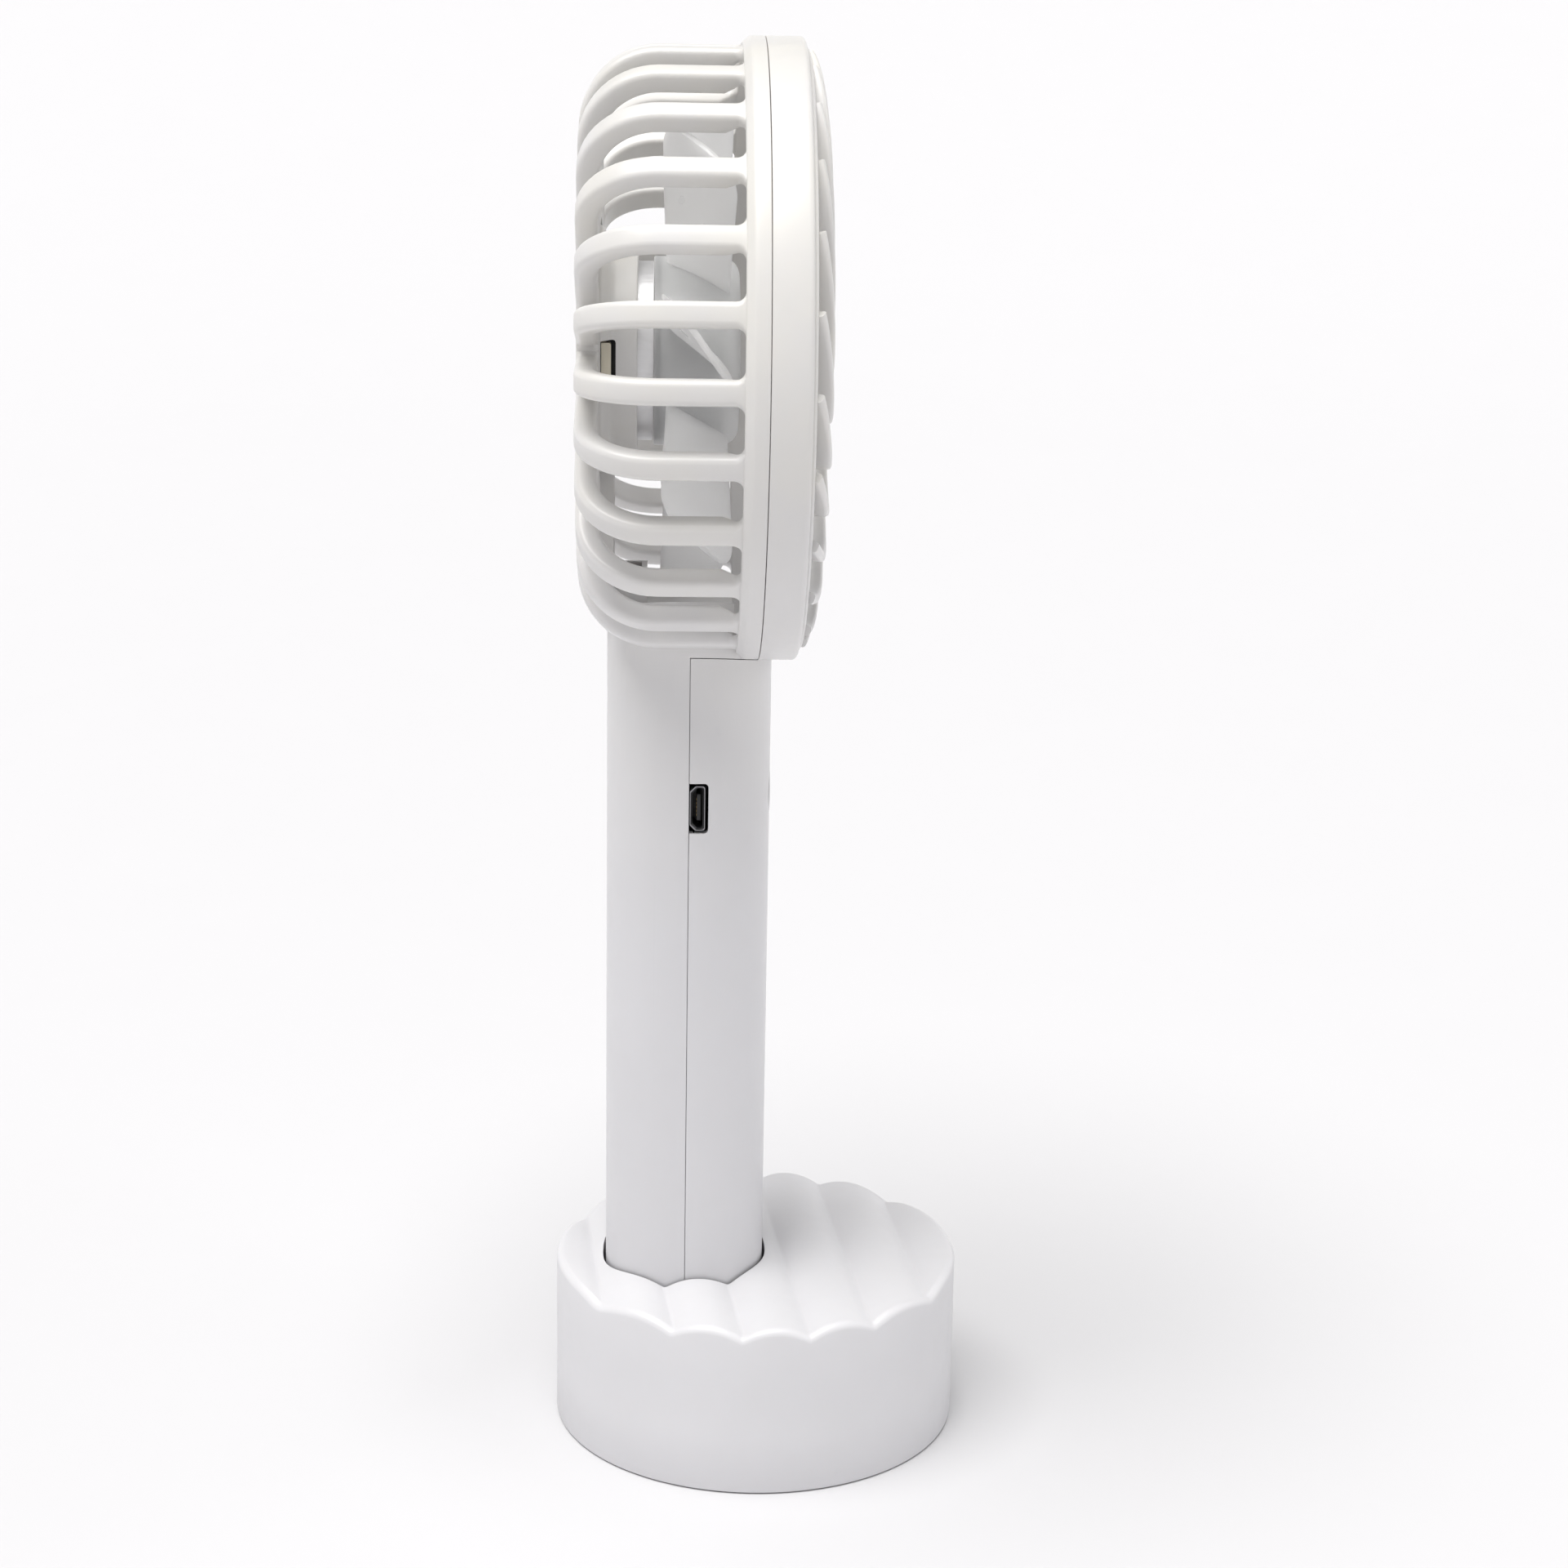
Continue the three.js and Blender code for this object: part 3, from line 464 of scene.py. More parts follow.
def solder_mask():
    """Green board with lighter tracks under its mask."""
    finish = Finish("solder_mask", (0.015, 0.13, 0.06), 0.35)
    bricks = finish.node("ShaderNodeTexBrick")
    bricks.inputs["Scale"].default_value = 1 / (14 * MM)
    bricks.inputs["Mortar Size"].default_value = 0.02
    mapping = finish.node("ShaderNodeMapping")
    mapping.inputs["Rotation"].default_value = (0, math.pi / 2, 0)
    finish.link(finish.place, mapping.inputs["Vector"])
    finish.link(mapping.outputs["Vector"], bricks.inputs["Vector"])
    finish.paint(finish.mix(bricks.outputs["Fac"], (0.012, 0.11, 0.05), (0.05, 0.26, 0.1)))
    finish.rough(finish.between(finish.noise(2, 4), 0.3, 0.7, 0.28, 0.45))
    finish.bump(bricks.outputs["Fac"], 0.03)
    return finish.material


def wound_copper():
    """Enamelled windings: fine parallel strands, darker in the grooves between them as painted shade."""
    finish = Finish("wound_copper", (0.62, 0.29, 0.13), 0.3, 1.0)
    strands = finish.node("ShaderNodeTexWave", wave_type="RINGS", rings_direction="X")
    strands.inputs["Scale"].default_value = 1 / (1.4 * MM)
    strands.inputs["Distortion"].default_value = 1.5
    finish.link(finish.place, strands.inputs["Vector"])
    # Painted shade: the low parts between strands, where the bump is lowest, are painted darker.
    finish.paint(finish.mix(strands.outputs["Fac"], (0.3, 0.12, 0.05), (0.72, 0.36, 0.17)))
    finish.rough(finish.between(strands.outputs["Fac"], 0, 1, 0.45, 0.22))
    finish.bump(strands.outputs["Fac"], 0.08)
    return finish.material


def sleeve(name, color, roughness):
    """Shrink sleeve or wire insulation, slightly uneven."""
    finish = Finish(name, color, roughness)
    uneven = finish.noise(2.5, 4)
    finish.paint(finish.mix(finish.between(uneven, 0.35, 0.7, 0, 1), color, shade(color, 0.75)))
    finish.rough(finish.between(uneven, 0.3, 0.7, roughness - 0.08, roughness + 0.1))
    finish.bump(finish.noise(0.8, 3), 0.02)
    return finish.material


def foam_rubber():
    """Closed-cell foam rubber with open pores on its cut face, each darker in its hollow as painted
    shade.
    """
    finish = Finish("foam_rubber", (0.035, 0.035, 0.037), 0.85)
    pores = finish.node("ShaderNodeTexVoronoi", feature="F1")
    pores.inputs["Scale"].default_value = 1 / (0.7 * MM)
    finish.link(finish.place, pores.inputs["Vector"])
    # Painted shade: each pore is darker towards its middle, where its hollow is deepest.
    depth = finish.between(pores.outputs["Distance"], 0.1, 0.6, 0, 1)
    finish.paint(finish.mix(depth, (0.012, 0.012, 0.013), (0.06, 0.06, 0.062)))
    finish.rough(finish.between(finish.noise(1.5, 4), 0.3, 0.7, 0.75, 0.95))
    finish.bump(pores.outputs["Distance"], 0.15)
    return finish.material


WHITE = (0.67, 0.666, 0.684)
# The head's warm tint, painted in towards the top of the white plastic as painted warm light.
WARM_LIT_WHITE = (0.69, 0.676, 0.644)
white_plastic = moulded_plastic("white_plastic", WHITE, 0.34, top_warm_light=WARM_LIT_WHITE)
base_plastic = moulded_plastic("base_plastic", WHITE, 0.38, specks=0.05)
cream_plastic = moulded_plastic("cream_plastic", (0.76, 0.71, 0.58), 0.5)
black_plastic = moulded_plastic("black_plastic", (0.018, 0.018, 0.02), 0.45, specks=0, subsurface=0)
clear_blades = blade_plastic()
steel = plated_steel()
socket_steel = plated_steel("socket_steel", (0.3, 0.3, 0.31), (1, 0.08, 1), 0.36)
can_steel = plated_steel("can_steel", (0.82, 0.82, 0.83), (0.08, 1, 1), 0.48)
bronze = sintered("sintered_bronze", (0.42, 0.29, 0.13), 0.45, 1.0)
ferrite = sintered("ferrite", (0.06, 0.06, 0.065), 0.65, 0.0)
copper = wound_copper()
board_green = solder_mask()
cell_sleeve = sleeve("cell_sleeve", (0.04, 0.19, 0.48), 0.32)
red_sleeve = sleeve("red_sleeve", (0.5, 0.02, 0.015), 0.4)
black_sleeve = sleeve("black_sleeve", (0.015, 0.015, 0.016), 0.4)
pad_rubber = foam_rubber()

INNER_PIECES = (
    (cell_sleeve, "battery_cell"),
    (steel, "battery_tab_top", "battery_tab_bottom", "motor_shaft"),
    (board_green, "circuit_board"),
    (black_plastic, "switch_body", "switch_plunger", "charger_chip"),
    (ferrite, "boost_inductor", "motor_magnet"),
    (cream_plastic, "capacitor", "indicator_led"),
    (red_sleeve, "motor_wire_red", "battery_wire_red"),
    (black_sleeve, "motor_wire_black", "battery_wire_black"),
    (bronze, "front_bush", "rear_bush"),
    (copper, "motor_terminal_positive", "motor_terminal_negative", "armature"),
)
for material, *nodes in INNER_PIECES:
    for node in nodes:
        materials = frame["nodes"][node].data.materials
        materials.clear()
        materials.append(material)


# ---- Handle and housings ----

HANDLE_SIDES = 144
HEAD_SIDES = 208


def handle_ring(inset, z):
    """The handle's outline, a squarish oval, at one height."""
    power = 2 / HANDLE_SQUARENESS
    ring = []
    for i in range(HANDLE_SIDES):
        cosine, sine = math.cos(TAU * i / HANDLE_SIDES), math.sin(TAU * i / HANDLE_SIDES)
        x = math.copysign(abs(cosine) ** power, cosine) * (HANDLE_HALF_X - inset)
        y = math.copysign(abs(sine) ** power, sine) * (HANDLE_HALF_Y - inset)
        ring.append((HANDLE_X + x, y, z))
    return ring


def handle_solid(inset, bottom, edge=0.0):
    """The handle's section as an upright solid up to the fan's axis, its bottom edge rounded."""
    steps = 4
    rings = []
    for step in range(steps + 1 if edge else 1):
        angle = TAU / 4 * step / steps
        pulled_in = edge * (1 - math.sin(angle))
        raised = edge * (1 - math.cos(angle))
        rings.append(handle_ring(inset + pulled_in, bottom + raised))
    return loft(rings + [handle_ring(inset, HEAD_Z)])


REACH = 60
ANY_Y = (-REACH, REACH)
ANY_Z = (-10, 4 * REACH)


def behind(x):
    return block((HANDLE_X - REACH, HANDLE_X + x), ANY_Y, ANY_Z)


def ahead(x):
    return block((HANDLE_X + x, HANDLE_X + REACH), ANY_Y, ANY_Z)


def under_saddle(inset, bottom, edge=0.0):
    """The handle's solid up to the saddle under the blades."""
    return combine(mesh_of(handle_solid(inset, bottom, edge)),
                   ("DIFFERENCE", bar_x(-REACH, REACH, NECK_RADIUS + inset, HEAD_SIDES)))


def handle_wall(outer, inner):
    """The handle's wall between two insets."""
    edge = HANDLE_EDGE if outer == 0 else 0
    return combine(under_saddle(outer, HANDLE_BOTTOM + outer, edge),
                   ("DIFFERENCE", under_saddle(inner, HANDLE_BOTTOM + inner)))


def full_wall():
    return handle_wall(0, WALL)


def lip_wall():
    """The inner layer of the wall, which runs on behind the seam as a lip."""
    return handle_wall(LIP_INSET, WALL)


def rib_flare(distance, radius):
    """How much wider a rib is at a distance from where it meets its ring."""
    if distance >= radius:
        return 0.0
    return radius - math.sqrt(radius ** 2 - (radius - max(distance, 0)) ** 2)


def cage_rib():
    """One rib of the cage, on the -Y side: along the side, round the corner and in to the disc.

    It widens into the ring and the disc, and gets thinner from below towards the ring.
    """
    side_flare, disc_flare = 1.5, 0.9
    into_ring, into_disc = 0.6, 0.8
    thinning = 3
    flare_steps, corner_steps = 8, 14
    stations = []
    for i in range(flare_steps + 1):
        x = CAGE_RING_REAR + into_ring - (side_flare + into_ring) * i / flare_steps
        stations.append((x, CAGE_RIB_RADIUS, 90, rib_flare(CAGE_RING_REAR - x, side_flare)))
    for x in (CAGE_RING_REAR - thinning, 1.0):
        stations.append((x, CAGE_RIB_RADIUS, 90, 0.0))
    for i in range(corner_steps + 1):
        angle = 90 + 90 * i / corner_steps
        x = CAGE_BACK + CAGE_CORNER * (1 + math.cos(math.radians(angle)))
        r = CAGE_RIB_RADIUS - CAGE_CORNER * (1 - math.sin(math.radians(angle)))
        stations.append((x, r, angle, 0.0))
    for i in range(flare_steps):
        r = BACK_DISC_RADIUS + disc_flare - (disc_flare + into_disc) * i / (flare_steps - 1)
        stations.append((CAGE_BACK, r, 180, rib_flare(r - BACK_DISC_RADIUS, disc_flare)))

    ring_step = CAGE_RIB_DEPTH - (CAGE_RIB_RADIUS - CAGE_RING_INNER) + 0.1
    rings = []
    for x, r, angle, flare in stations:
        merged = min(1, max(0, 1 - (CAGE_RING_REAR - x) / thinning))
        under = -CAGE_RIB_DEPTH + ring_step * merged * merged * (3 - 2 * merged)
        wide = CAGE_RIB_WIDTH / 2 + flare
        section = rounded([(0, -wide, 1.0), (0, wide, 1.0), (under, wide, 0.8), (under, -wide, 0.8)])
        out_x, out_r = math.cos(math.radians(angle)), math.sin(math.radians(angle))
        rings.append([(HANDLE_X + x + out_x * depth, -(r + out_r * depth), HEAD_Z + side)
                      for depth, side in section])
    return loft(rings)


def cage_envelope():
    """The cage's outer shape as a full body."""
    corner_r = CAGE_RIB_RADIUS - CAGE_CORNER
    arc = [(CAGE_BACK + CAGE_CORNER * (1 - math.sin(a)), corner_r + CAGE_CORNER * math.cos(a))
           for a in (TAU / 4 * i / 16 for i in range(17))]
    front = CAGE_RING_REAR + 1
    return turn_profile([(front, 0), (front, CAGE_RIB_RADIUS), *arc, (CAGE_BACK, 0)], HEAD_SIDES)


LUG_X = (-14.6, -12.2)
LUG_Z = (-3.9, 3.5)


def lug_windows():
    """The windows in the motor cup's sides, with rounded corners, for the end cap's lugs."""
    (x0, x1), (z0, z1) = LUG_X, LUG_Z
    outline = rounded([(x0, z0, 0.1), (x1, z0, 0.5), (x1, z1, 0.5), (x0, z1, 0.1)])
    return loft([[(HANDLE_X + x, y, HEAD_Z + z) for x, z in outline] for y in (-21, 21)])


DUCT_HALF = 5
DUCT_FRONT = -12.6
GROOVE_HALF = 2.6
GROOVE_FLOOR = -15.6
INLET = (-12.7, -8)
INLET_DEPTH = 6
HOOD_WALL = 0.9
HOOD_HEIGHT = 6
NECK_TOP = HEAD_Z - NECK_RADIUS
RING_FOOT = (6, 9)
SCREW_HEIGHTS = (19, 130)
BUTTON_Z = 113.15
BUTTON_RADIUS = 4.2
LIGHT_Z = 121.5


def socket_hole():
    """The charging socket's opening, square at the seam and rounded in the front half."""
    width, half = 3.2, 4.25
    opening = rounded([(0, -half, 0), (width, -half, 0.7), (width, half, 0.7), (0, half, 0)], 6)
    return loft([[(HANDLE_X + x, y, BUTTON_Z + z) for x, z in opening] for y in (-REACH, -2)])


def cage_ring():
    front = HOUSING_SPLIT - SEAM / 2
    return turn_profile(rounded([
        (front, CAGE_RING_INNER, 0.2),
        (front, HEAD_RADIUS, 0.12),
        (CAGE_RING_REAR + 1.3, HEAD_RADIUS, 1.2),
        (CAGE_RING_REAR, CAGE_RIB_RADIUS + 0.35, 0.5),
        (CAGE_RING_REAR, CAGE_RING_INNER, 0.4),
    ]), HEAD_SIDES)


def back_disc():
    """The disc the ribs end in, with a shallow round recess behind."""
    recess = CAGE_BACK + 0.5
    return turn_profile([
        (CAGE_BACK + 2.2, 0), (CAGE_BACK + 2.2, BACK_DISC_RADIUS), (CAGE_BACK + 0.5, BACK_DISC_RADIUS),
        (CAGE_BACK + 0.15, BACK_DISC_RADIUS - 0.15), (CAGE_BACK, BACK_DISC_RADIUS - 0.5),
        (CAGE_BACK, 17.6), (CAGE_BACK + 0.08, 17.3), (CAGE_BACK + 0.3, 17.1), (recess, 16.8), (recess, 0),
    ], HEAD_SIDES)


def motor_cup():
    return turn_profile(rounded([
        (CAGE_BACK + 1, CUP_INNER, 0), (CAGE_BACK + 1, CUP_FOOT, 0), (CAGE_BACK + 3.8, CUP_FOOT, 0.8),
        (CAGE_BACK + 5.4, CUP_OUTER, 1.2), (CUP_FRONT, CUP_OUTER, 0.4), (CUP_FRONT, CUP_INNER, 0.3),
    ]), 144)


def wire_duct():
    """The rib that holds the motor's wires, from the neck up to the cup."""
    x_span = (HANDLE_X + CAGE_BACK, HANDLE_X + DUCT_FRONT)
    z_span = (HEAD_Z - CAGE_RIB_RADIUS, HEAD_Z - CUP_INNER - 1)
    return combine(mesh_of(block(x_span, (-DUCT_HALF, DUCT_HALF), z_span)),
                   ("INTERSECT", cage_envelope()))


def inlet_hood():
    """A low hood round the hole that the wires come up through."""
    half = GROOVE_HALF + HOOD_WALL
    return block((HANDLE_X + DUCT_FRONT - HOOD_WALL, HANDLE_X + INLET[1] + HOOD_WALL), (-half, half),
                 (NECK_TOP - HOOD_WALL, NECK_TOP + HOOD_HEIGHT))


def neck_parts():
    """The handle's wall up into the head, the neck's front wall, and the foot under the ring."""
    head_room = ("INTERSECT", bar_x(-REACH, REACH, HEAD_RADIUS - 0.03, HEAD_SIDES))
    neck = combine(full_wall(), ("INTERSECT", behind(NECK_FRONT)), head_room)
    parts = [neck]
    for rear, front, radius in ((NECK_FRONT - WALL, NECK_FRONT, NECK_RADIUS),
                                (RING_FOOT[0], RING_FOOT[1], CAGE_RING_INNER + 0.2)):
        slab = block((HANDLE_X + rear, HANDLE_X + front), ANY_Y, ANY_Z)
        parts.append(combine(mesh_of(handle_solid(0, HANDLE_BOTTOM)), ("INTERSECT", slab), head_room,
                             ("DIFFERENCE", bar_x(-REACH, REACH, radius, HEAD_SIDES))))
    return parts


def wire_way():
    """The groove up the duct and the hole in the neck below it."""
    y_span = (-GROOVE_HALF, GROOVE_HALF)
    rear, front = HANDLE_X + INLET[0], HANDLE_X + INLET[1]
    groove = block((HANDLE_X + GROOVE_FLOOR, front), y_span, (NECK_TOP, HEAD_Z - CUP_INNER + 1))
    inlet = block((rear, front), y_span, (NECK_TOP - INLET_DEPTH, NECK_TOP + 1))
    return groove, inlet


def rear_housing():
    """Cage, back disc, motor cup and wire duct, with the rear half of the handle and its neck."""
    turns = [CAGE_FIRST_RIB + 360 * i / CAGE_RIBS for i in range(CAGE_RIBS)]
    ribs = together([turned_about(cage_rib(), turn) for turn in turns])
    rear_half = combine(full_wall(), ("INTERSECT", behind(-SEAM / 2)))
    lip = combine(lip_wall(), ("INTERSECT", behind(LIP_LENGTH)), ("DIFFERENCE", socket_hole()),
                  ("DIFFERENCE", bar_x(-REACH, REACH, HEAD_RADIUS + SEAM, HEAD_SIDES)))
    added = [ribs, back_disc(), motor_cup(), wire_duct(), inlet_hood(), rear_half, lip, *neck_parts()]
    cut = [*wire_way(), lug_windows()]
    for z in SCREW_HEIGHTS:
        dz = z - HEAD_Z
        added.append(moved(bar_x(-HANDLE_HALF_X + 1, -SEAM / 2, 3.2, 32), dz=dz))
        cut.append(moved(bar_x(-20, -5, 2.5, 48), dz=dz))
        cut.append(moved(bar_x(-20, 1, 1.15, 24), dz=dz))
    mesh = combine(mesh_of(cage_ring()), *[("UNION", tool) for tool in added],
                   *[("DIFFERENCE", tool) for tool in cut])
    add_piece("rear_housing", mesh, "fan_body", white_plastic, ("rear_cage", "rear_handle"))


def front_housing():
    """Front ring and front half of the handle, with the socket's, button's and light's openings."""
    rear, ring_inner = HOUSING_SPLIT + SEAM / 2, CAGE_RING_INNER + 0.2
    ring = turn_profile(rounded([
        (rear, ring_inner, 0.2), (rear, HEAD_RADIUS, 0.12),
        (FRONT_RING_FACE, HEAD_RADIUS, 0.9), (FRONT_RING_FACE, FRONT_RING_INNER, 0.3),
        (13, FRONT_RING_INNER, 0), (13, ring_inner, 0.2),
    ]), HEAD_SIDES)
    front_half = combine(full_wall(),
                         ("INTERSECT", ahead(SEAM / 2)),
                         ("DIFFERENCE", combine(lip_wall(), ("INTERSECT", behind(LIP_LENGTH + 0.2)))),
                         ("DIFFERENCE", bar_x(-REACH, rear, HEAD_RADIUS + 0.1, HEAD_SIDES)),
                         ("DIFFERENCE", bar_x(-REACH, REACH, FRONT_RING_INNER + 0.3, HEAD_SIDES)))
    steps = [("UNION", front_half)]
    for z in SCREW_HEIGHTS:
        steps.append(("UNION", moved(bar_x(SEAM / 2, HANDLE_HALF_X - 1, 2.8, 32), dz=z - HEAD_Z)))
    steps += [
        ("DIFFERENCE", socket_hole()),
        ("DIFFERENCE", moved(bar_x(5, 20, BUTTON_RADIUS + 0.22, 96), dz=BUTTON_Z - HEAD_Z)),
        ("DIFFERENCE", moved(bar_x(5, 20, 1.1, 32), dz=LIGHT_Z - HEAD_Z)),
    ]
    mesh = combine(mesh_of(ring), *steps)
    add_piece("front_housing", mesh, "fan_body", white_plastic, ("front_housing",))


# ---- Front grille ----

GRILLE_RIBS = 24
GRILLE_FIRST_RIB = -1.8
GRILLE_SWEEP = 35
GRILLE_RIB_WIDTH = 1.8
GRILLE_RIB_DEPTH = 3
GRILLE_HUB = 13
GRILLE_RIM = (46.6, 48.4)
DOME_EDGE = 17.1
DOME_HEIGHT = 4.4


def dome(r):
    """How far forward the grille's face is at a distance from its axis."""
    return DOME_EDGE + DOME_HEIGHT * math.sqrt(1 - (r / 49) ** 6)


def swirl_rib():
    """One rib of the grille, from the hub over the dome to the rim."""
    steps, slope_step = 34, 0.01
    start, end = GRILLE_HUB - 1, GRILLE_RIM[1] - 0.9
    line, outward = [], []
    for i in range(steps + 1):
        t = math.sin(i / steps * TAU / 4)
        r = start + (end - start) * t
        angle = math.radians(-GRILLE_SWEEP * (1 - t * t))
        line.append(Vector(round_x(dome(r), r, angle)))
        slope = (dome(r + slope_step) - dome(r - slope_step)) / (2 * slope_step)
        away = Vector((0, -math.cos(angle), math.sin(angle)))
        outward.append((Vector((1, 0, 0)) - away * slope).normalized())
    half, depth = GRILLE_RIB_WIDTH / 2, GRILLE_RIB_DEPTH
    section = rounded([(0, -half, 0.6), (0, half, 0.6), (-depth, half, 0.5), (-depth, -half, 0.5)], 3)
    rings = []
    for i, (point, normal) in enumerate(zip(line, outward)):
        along = (line[min(i + 1, steps)] - line[max(i - 1, 0)]).normalized()
        across = along.cross(normal).normalized()
        up = across.cross(along)
        rings.append([tuple(point + up * lift + across * side) for lift, side in section])
    return loft(rings)


def front_grille():
    """The grille in one piece, and the plain cap pressed in its middle."""
    rim = turn_profile(rounded([
        (13.2, GRILLE_RIM[0], 0.3), (13.2, GRILLE_RIM[1], 0.3),
        (18, GRILLE_RIM[1], 0.6), (18, GRILLE_RIM[0], 0.6),
    ]), HEAD_SIDES)
    face = dome(GRILLE_HUB)
    hub = turn_profile([
        (face - 3, 0), (face - 3, GRILLE_HUB - 0.4), (face - 2.6, GRILLE_HUB), (face - 0.7, GRILLE_HUB),
        (face - 0.2, GRILLE_HUB - 0.2), (face, GRILLE_HUB - 0.7), (face, 10.9), (face - 0.1, 10.8),
        (face - 1.2, 10.8), (face - 1.2, 0),
    ], 144)
    turns = [GRILLE_FIRST_RIB + 360 * i / GRILLE_RIBS for i in range(GRILLE_RIBS)]
    ribs = together([turned_about(swirl_rib(), turn) for turn in turns])
    add_piece("front_grille", combine(mesh_of(rim), ("UNION", ribs), ("UNION", hub)),
              "fan_body", white_plastic, ("front_grille",))
    cap = turn_profile([
        (face - 1, 0), (face - 1, 10.6), (face - 0.05, 10.6), (face + 0.1, 10.5), (face + 0.18, 10.2),
        (face + 0.2, 9.2), (face + 0.12, 8.9), (face + 0.1, 8.4), (face + 0.2, 4), (face + 0.2, 0),
    ], 144)
    add_piece("grille_centre_cap", cap, "fan_body", white_plastic, ("grille_centre_cap",))


# ---- Motor and impeller ----

BLADES = 7
FIRST_BLADE = 8.2
HUB_RADIUS = 15.2
HUB_REAR, HUB_FRONT = -6.3, 7.5
SKIRT_INNER = 14.7  # the hub's rear edge reaches over the motor can's
BLADE_TIP = 39.2
BLADE_SPAN_X = (-5.2, 6.6)


def blade():
    """A cambered, twisted blade with a rounded tip, on the -Y side."""
    root = HUB_RADIUS - 0.7
    height = BLADE_SPAN_X[1] - BLADE_SPAN_X[0]
    middle = sum(BLADE_SPAN_X) / 2
    root_pitch, tip_pitch = 52, 36
    root_thickness, tip_thickness, camber = 1.6, 1.0, 1.6
    half_side, last = 13, 24
    tip_share = 0.18  # of the blade's length, over which its corners are rounded
    rings = []
    for i in range(last + 1):
        out = 1 - (1 - i / last) ** 1.6
        radius = root + (BLADE_TIP - root) * out
        pitch = math.radians(root_pitch + (tip_pitch - root_pitch) * out)
        corner = max(0.0, (out - 1 + tip_share) / tip_share)
        trim = (1 - 0.16 * (1 - out)) * (1 - 0.46 * (1 - math.sqrt(1 - 0.98 * corner ** 2)))
        thickness = root_thickness + (tip_thickness - root_thickness) * out
        if i == last:
            thickness *= 0.35
        ring = []
        for side in (1, -1):
            for k in range(half_side):
                along = -0.5 * math.cos(math.pi * (k + 0.5) / half_side) * side
                x = along * height * trim
                bow = camber * (0.25 - along * along)
                body = thickness * math.sqrt(max(0.0, 1 - (2 * along) ** 4)) / 2
                tangential = -x / math.tan(pitch) + bow + side * body / math.sin(pitch)
                ring.append(round_x(middle + x, radius, tangential / radius))
        rings.append(ring)
    return loft(rings)


def impeller():
    """Hub and blades in one, with a boss for the motor's shaft."""
    nose, wall = 3, 1.4
    inner = HUB_RADIUS - wall
    arc = [(HUB_FRONT - nose + nose * math.sin(a), HUB_RADIUS - nose + nose * math.cos(a))
           for a in (TAU / 4 * i / 8 for i in range(9))]
    hub = turn_profile([
        (HUB_FRONT - wall, 0), (HUB_FRONT - wall, HUB_RADIUS - nose - 0.7), (HUB_FRONT - nose, inner),
        (HUB_REAR + 1.1, inner), (HUB_REAR + 1.1, SKIRT_INNER), (HUB_REAR, SKIRT_INNER),
        (HUB_REAR, HUB_RADIUS - 0.2), (HUB_REAR + 0.2, HUB_RADIUS), *arc,
        (HUB_FRONT, 3.2), (HUB_FRONT - 0.5, 2.8), (HUB_FRONT - 0.5, 0),
    ], 144)
    boss = bar_x(-3.8, HUB_FRONT - 0.7, 2.6, 48)
    shaft_hole = bar_x(-10, 6.1, 1.05, 32)
    blades = together([turned_about(blade(), FIRST_BLADE + 360 * i / BLADES) for i in range(BLADES)])
    mesh = combine(mesh_of(hub), ("UNION", blades), ("UNION", boss), ("DIFFERENCE", shaft_hole))
    add_piece("impeller", mesh, "impeller_body", clear_blades, ("impeller",))


def motor():
    """The drawn steel can, its end cap with two lugs, and a thin black ring round the can as painted
    shade.
    """
    can = turn_profile([
        (-13.6, 13.6), (-13.6, 14.3), (-13.5, MOTOR_RADIUS),
        (-6.4, MOTOR_RADIUS), (-5.9, 14.25), (-5.66, 14.0), (-5.6, 13.6), (-5.6, 3.1),
        (-6.4, 3.1), (-6.4, 13.2), (-6.8, 13.6),
    ], 144)
    add_piece("motor_can", can, "fan_body", can_steel, ("motor_can",))
    disc = turn_profile([
        (-16.0, 3.1), (-16.0, 14.1), (-15.8, MOTOR_RADIUS),
        (-13.8, MOTOR_RADIUS), (-13.7, 14.2), (-13.7, 3.1),
    ], 144)
    rear, low, high = LUG_X[0] + 0.12, LUG_Z[0] * 0.85, LUG_Z[1] * 0.85
    bars = []
    for front in (-13.7, LUG_X[1] - 0.75):
        outline = rounded([(rear, low, 0.2), (front, low, 0.35), (front, high, 0.35), (rear, high, 0.2)])
        bars.append(loft([[(HANDLE_X + x, y, HEAD_Z + z) for x, z in outline] for y in (-16.7, 16.7)]))
    strap, hooks = bars
    hooks = combine(mesh_of(hooks), ("DIFFERENCE", bar_x(-REACH, REACH, MOTOR_RADIUS + 0.3, 144)))
    hole = bar_x(-17, -13, 3.1, 48)
    add_piece("motor_end_cap",
              combine(mesh_of(disc), ("UNION", strap), ("UNION", hooks), ("DIFFERENCE", hole)),
              "fan_body", cream_plastic, ("motor_end_cap",))
    # Painted shade: a thin black ring on the can, seen through the cup's lug windows, where the gap is in
    # shade.
    inner, outer = MOTOR_RADIUS + 0.02, MOTOR_RADIUS + 0.14
    shade_ring = turn_profile([(-13.5, inner), (-13.5, outer), (-10.5, outer), (-10.5, inner)], 144)
    add_piece("motor_shade_ring", shade_ring, "fan_body", black_plastic, ())


# ---- Small parts in the handle ----

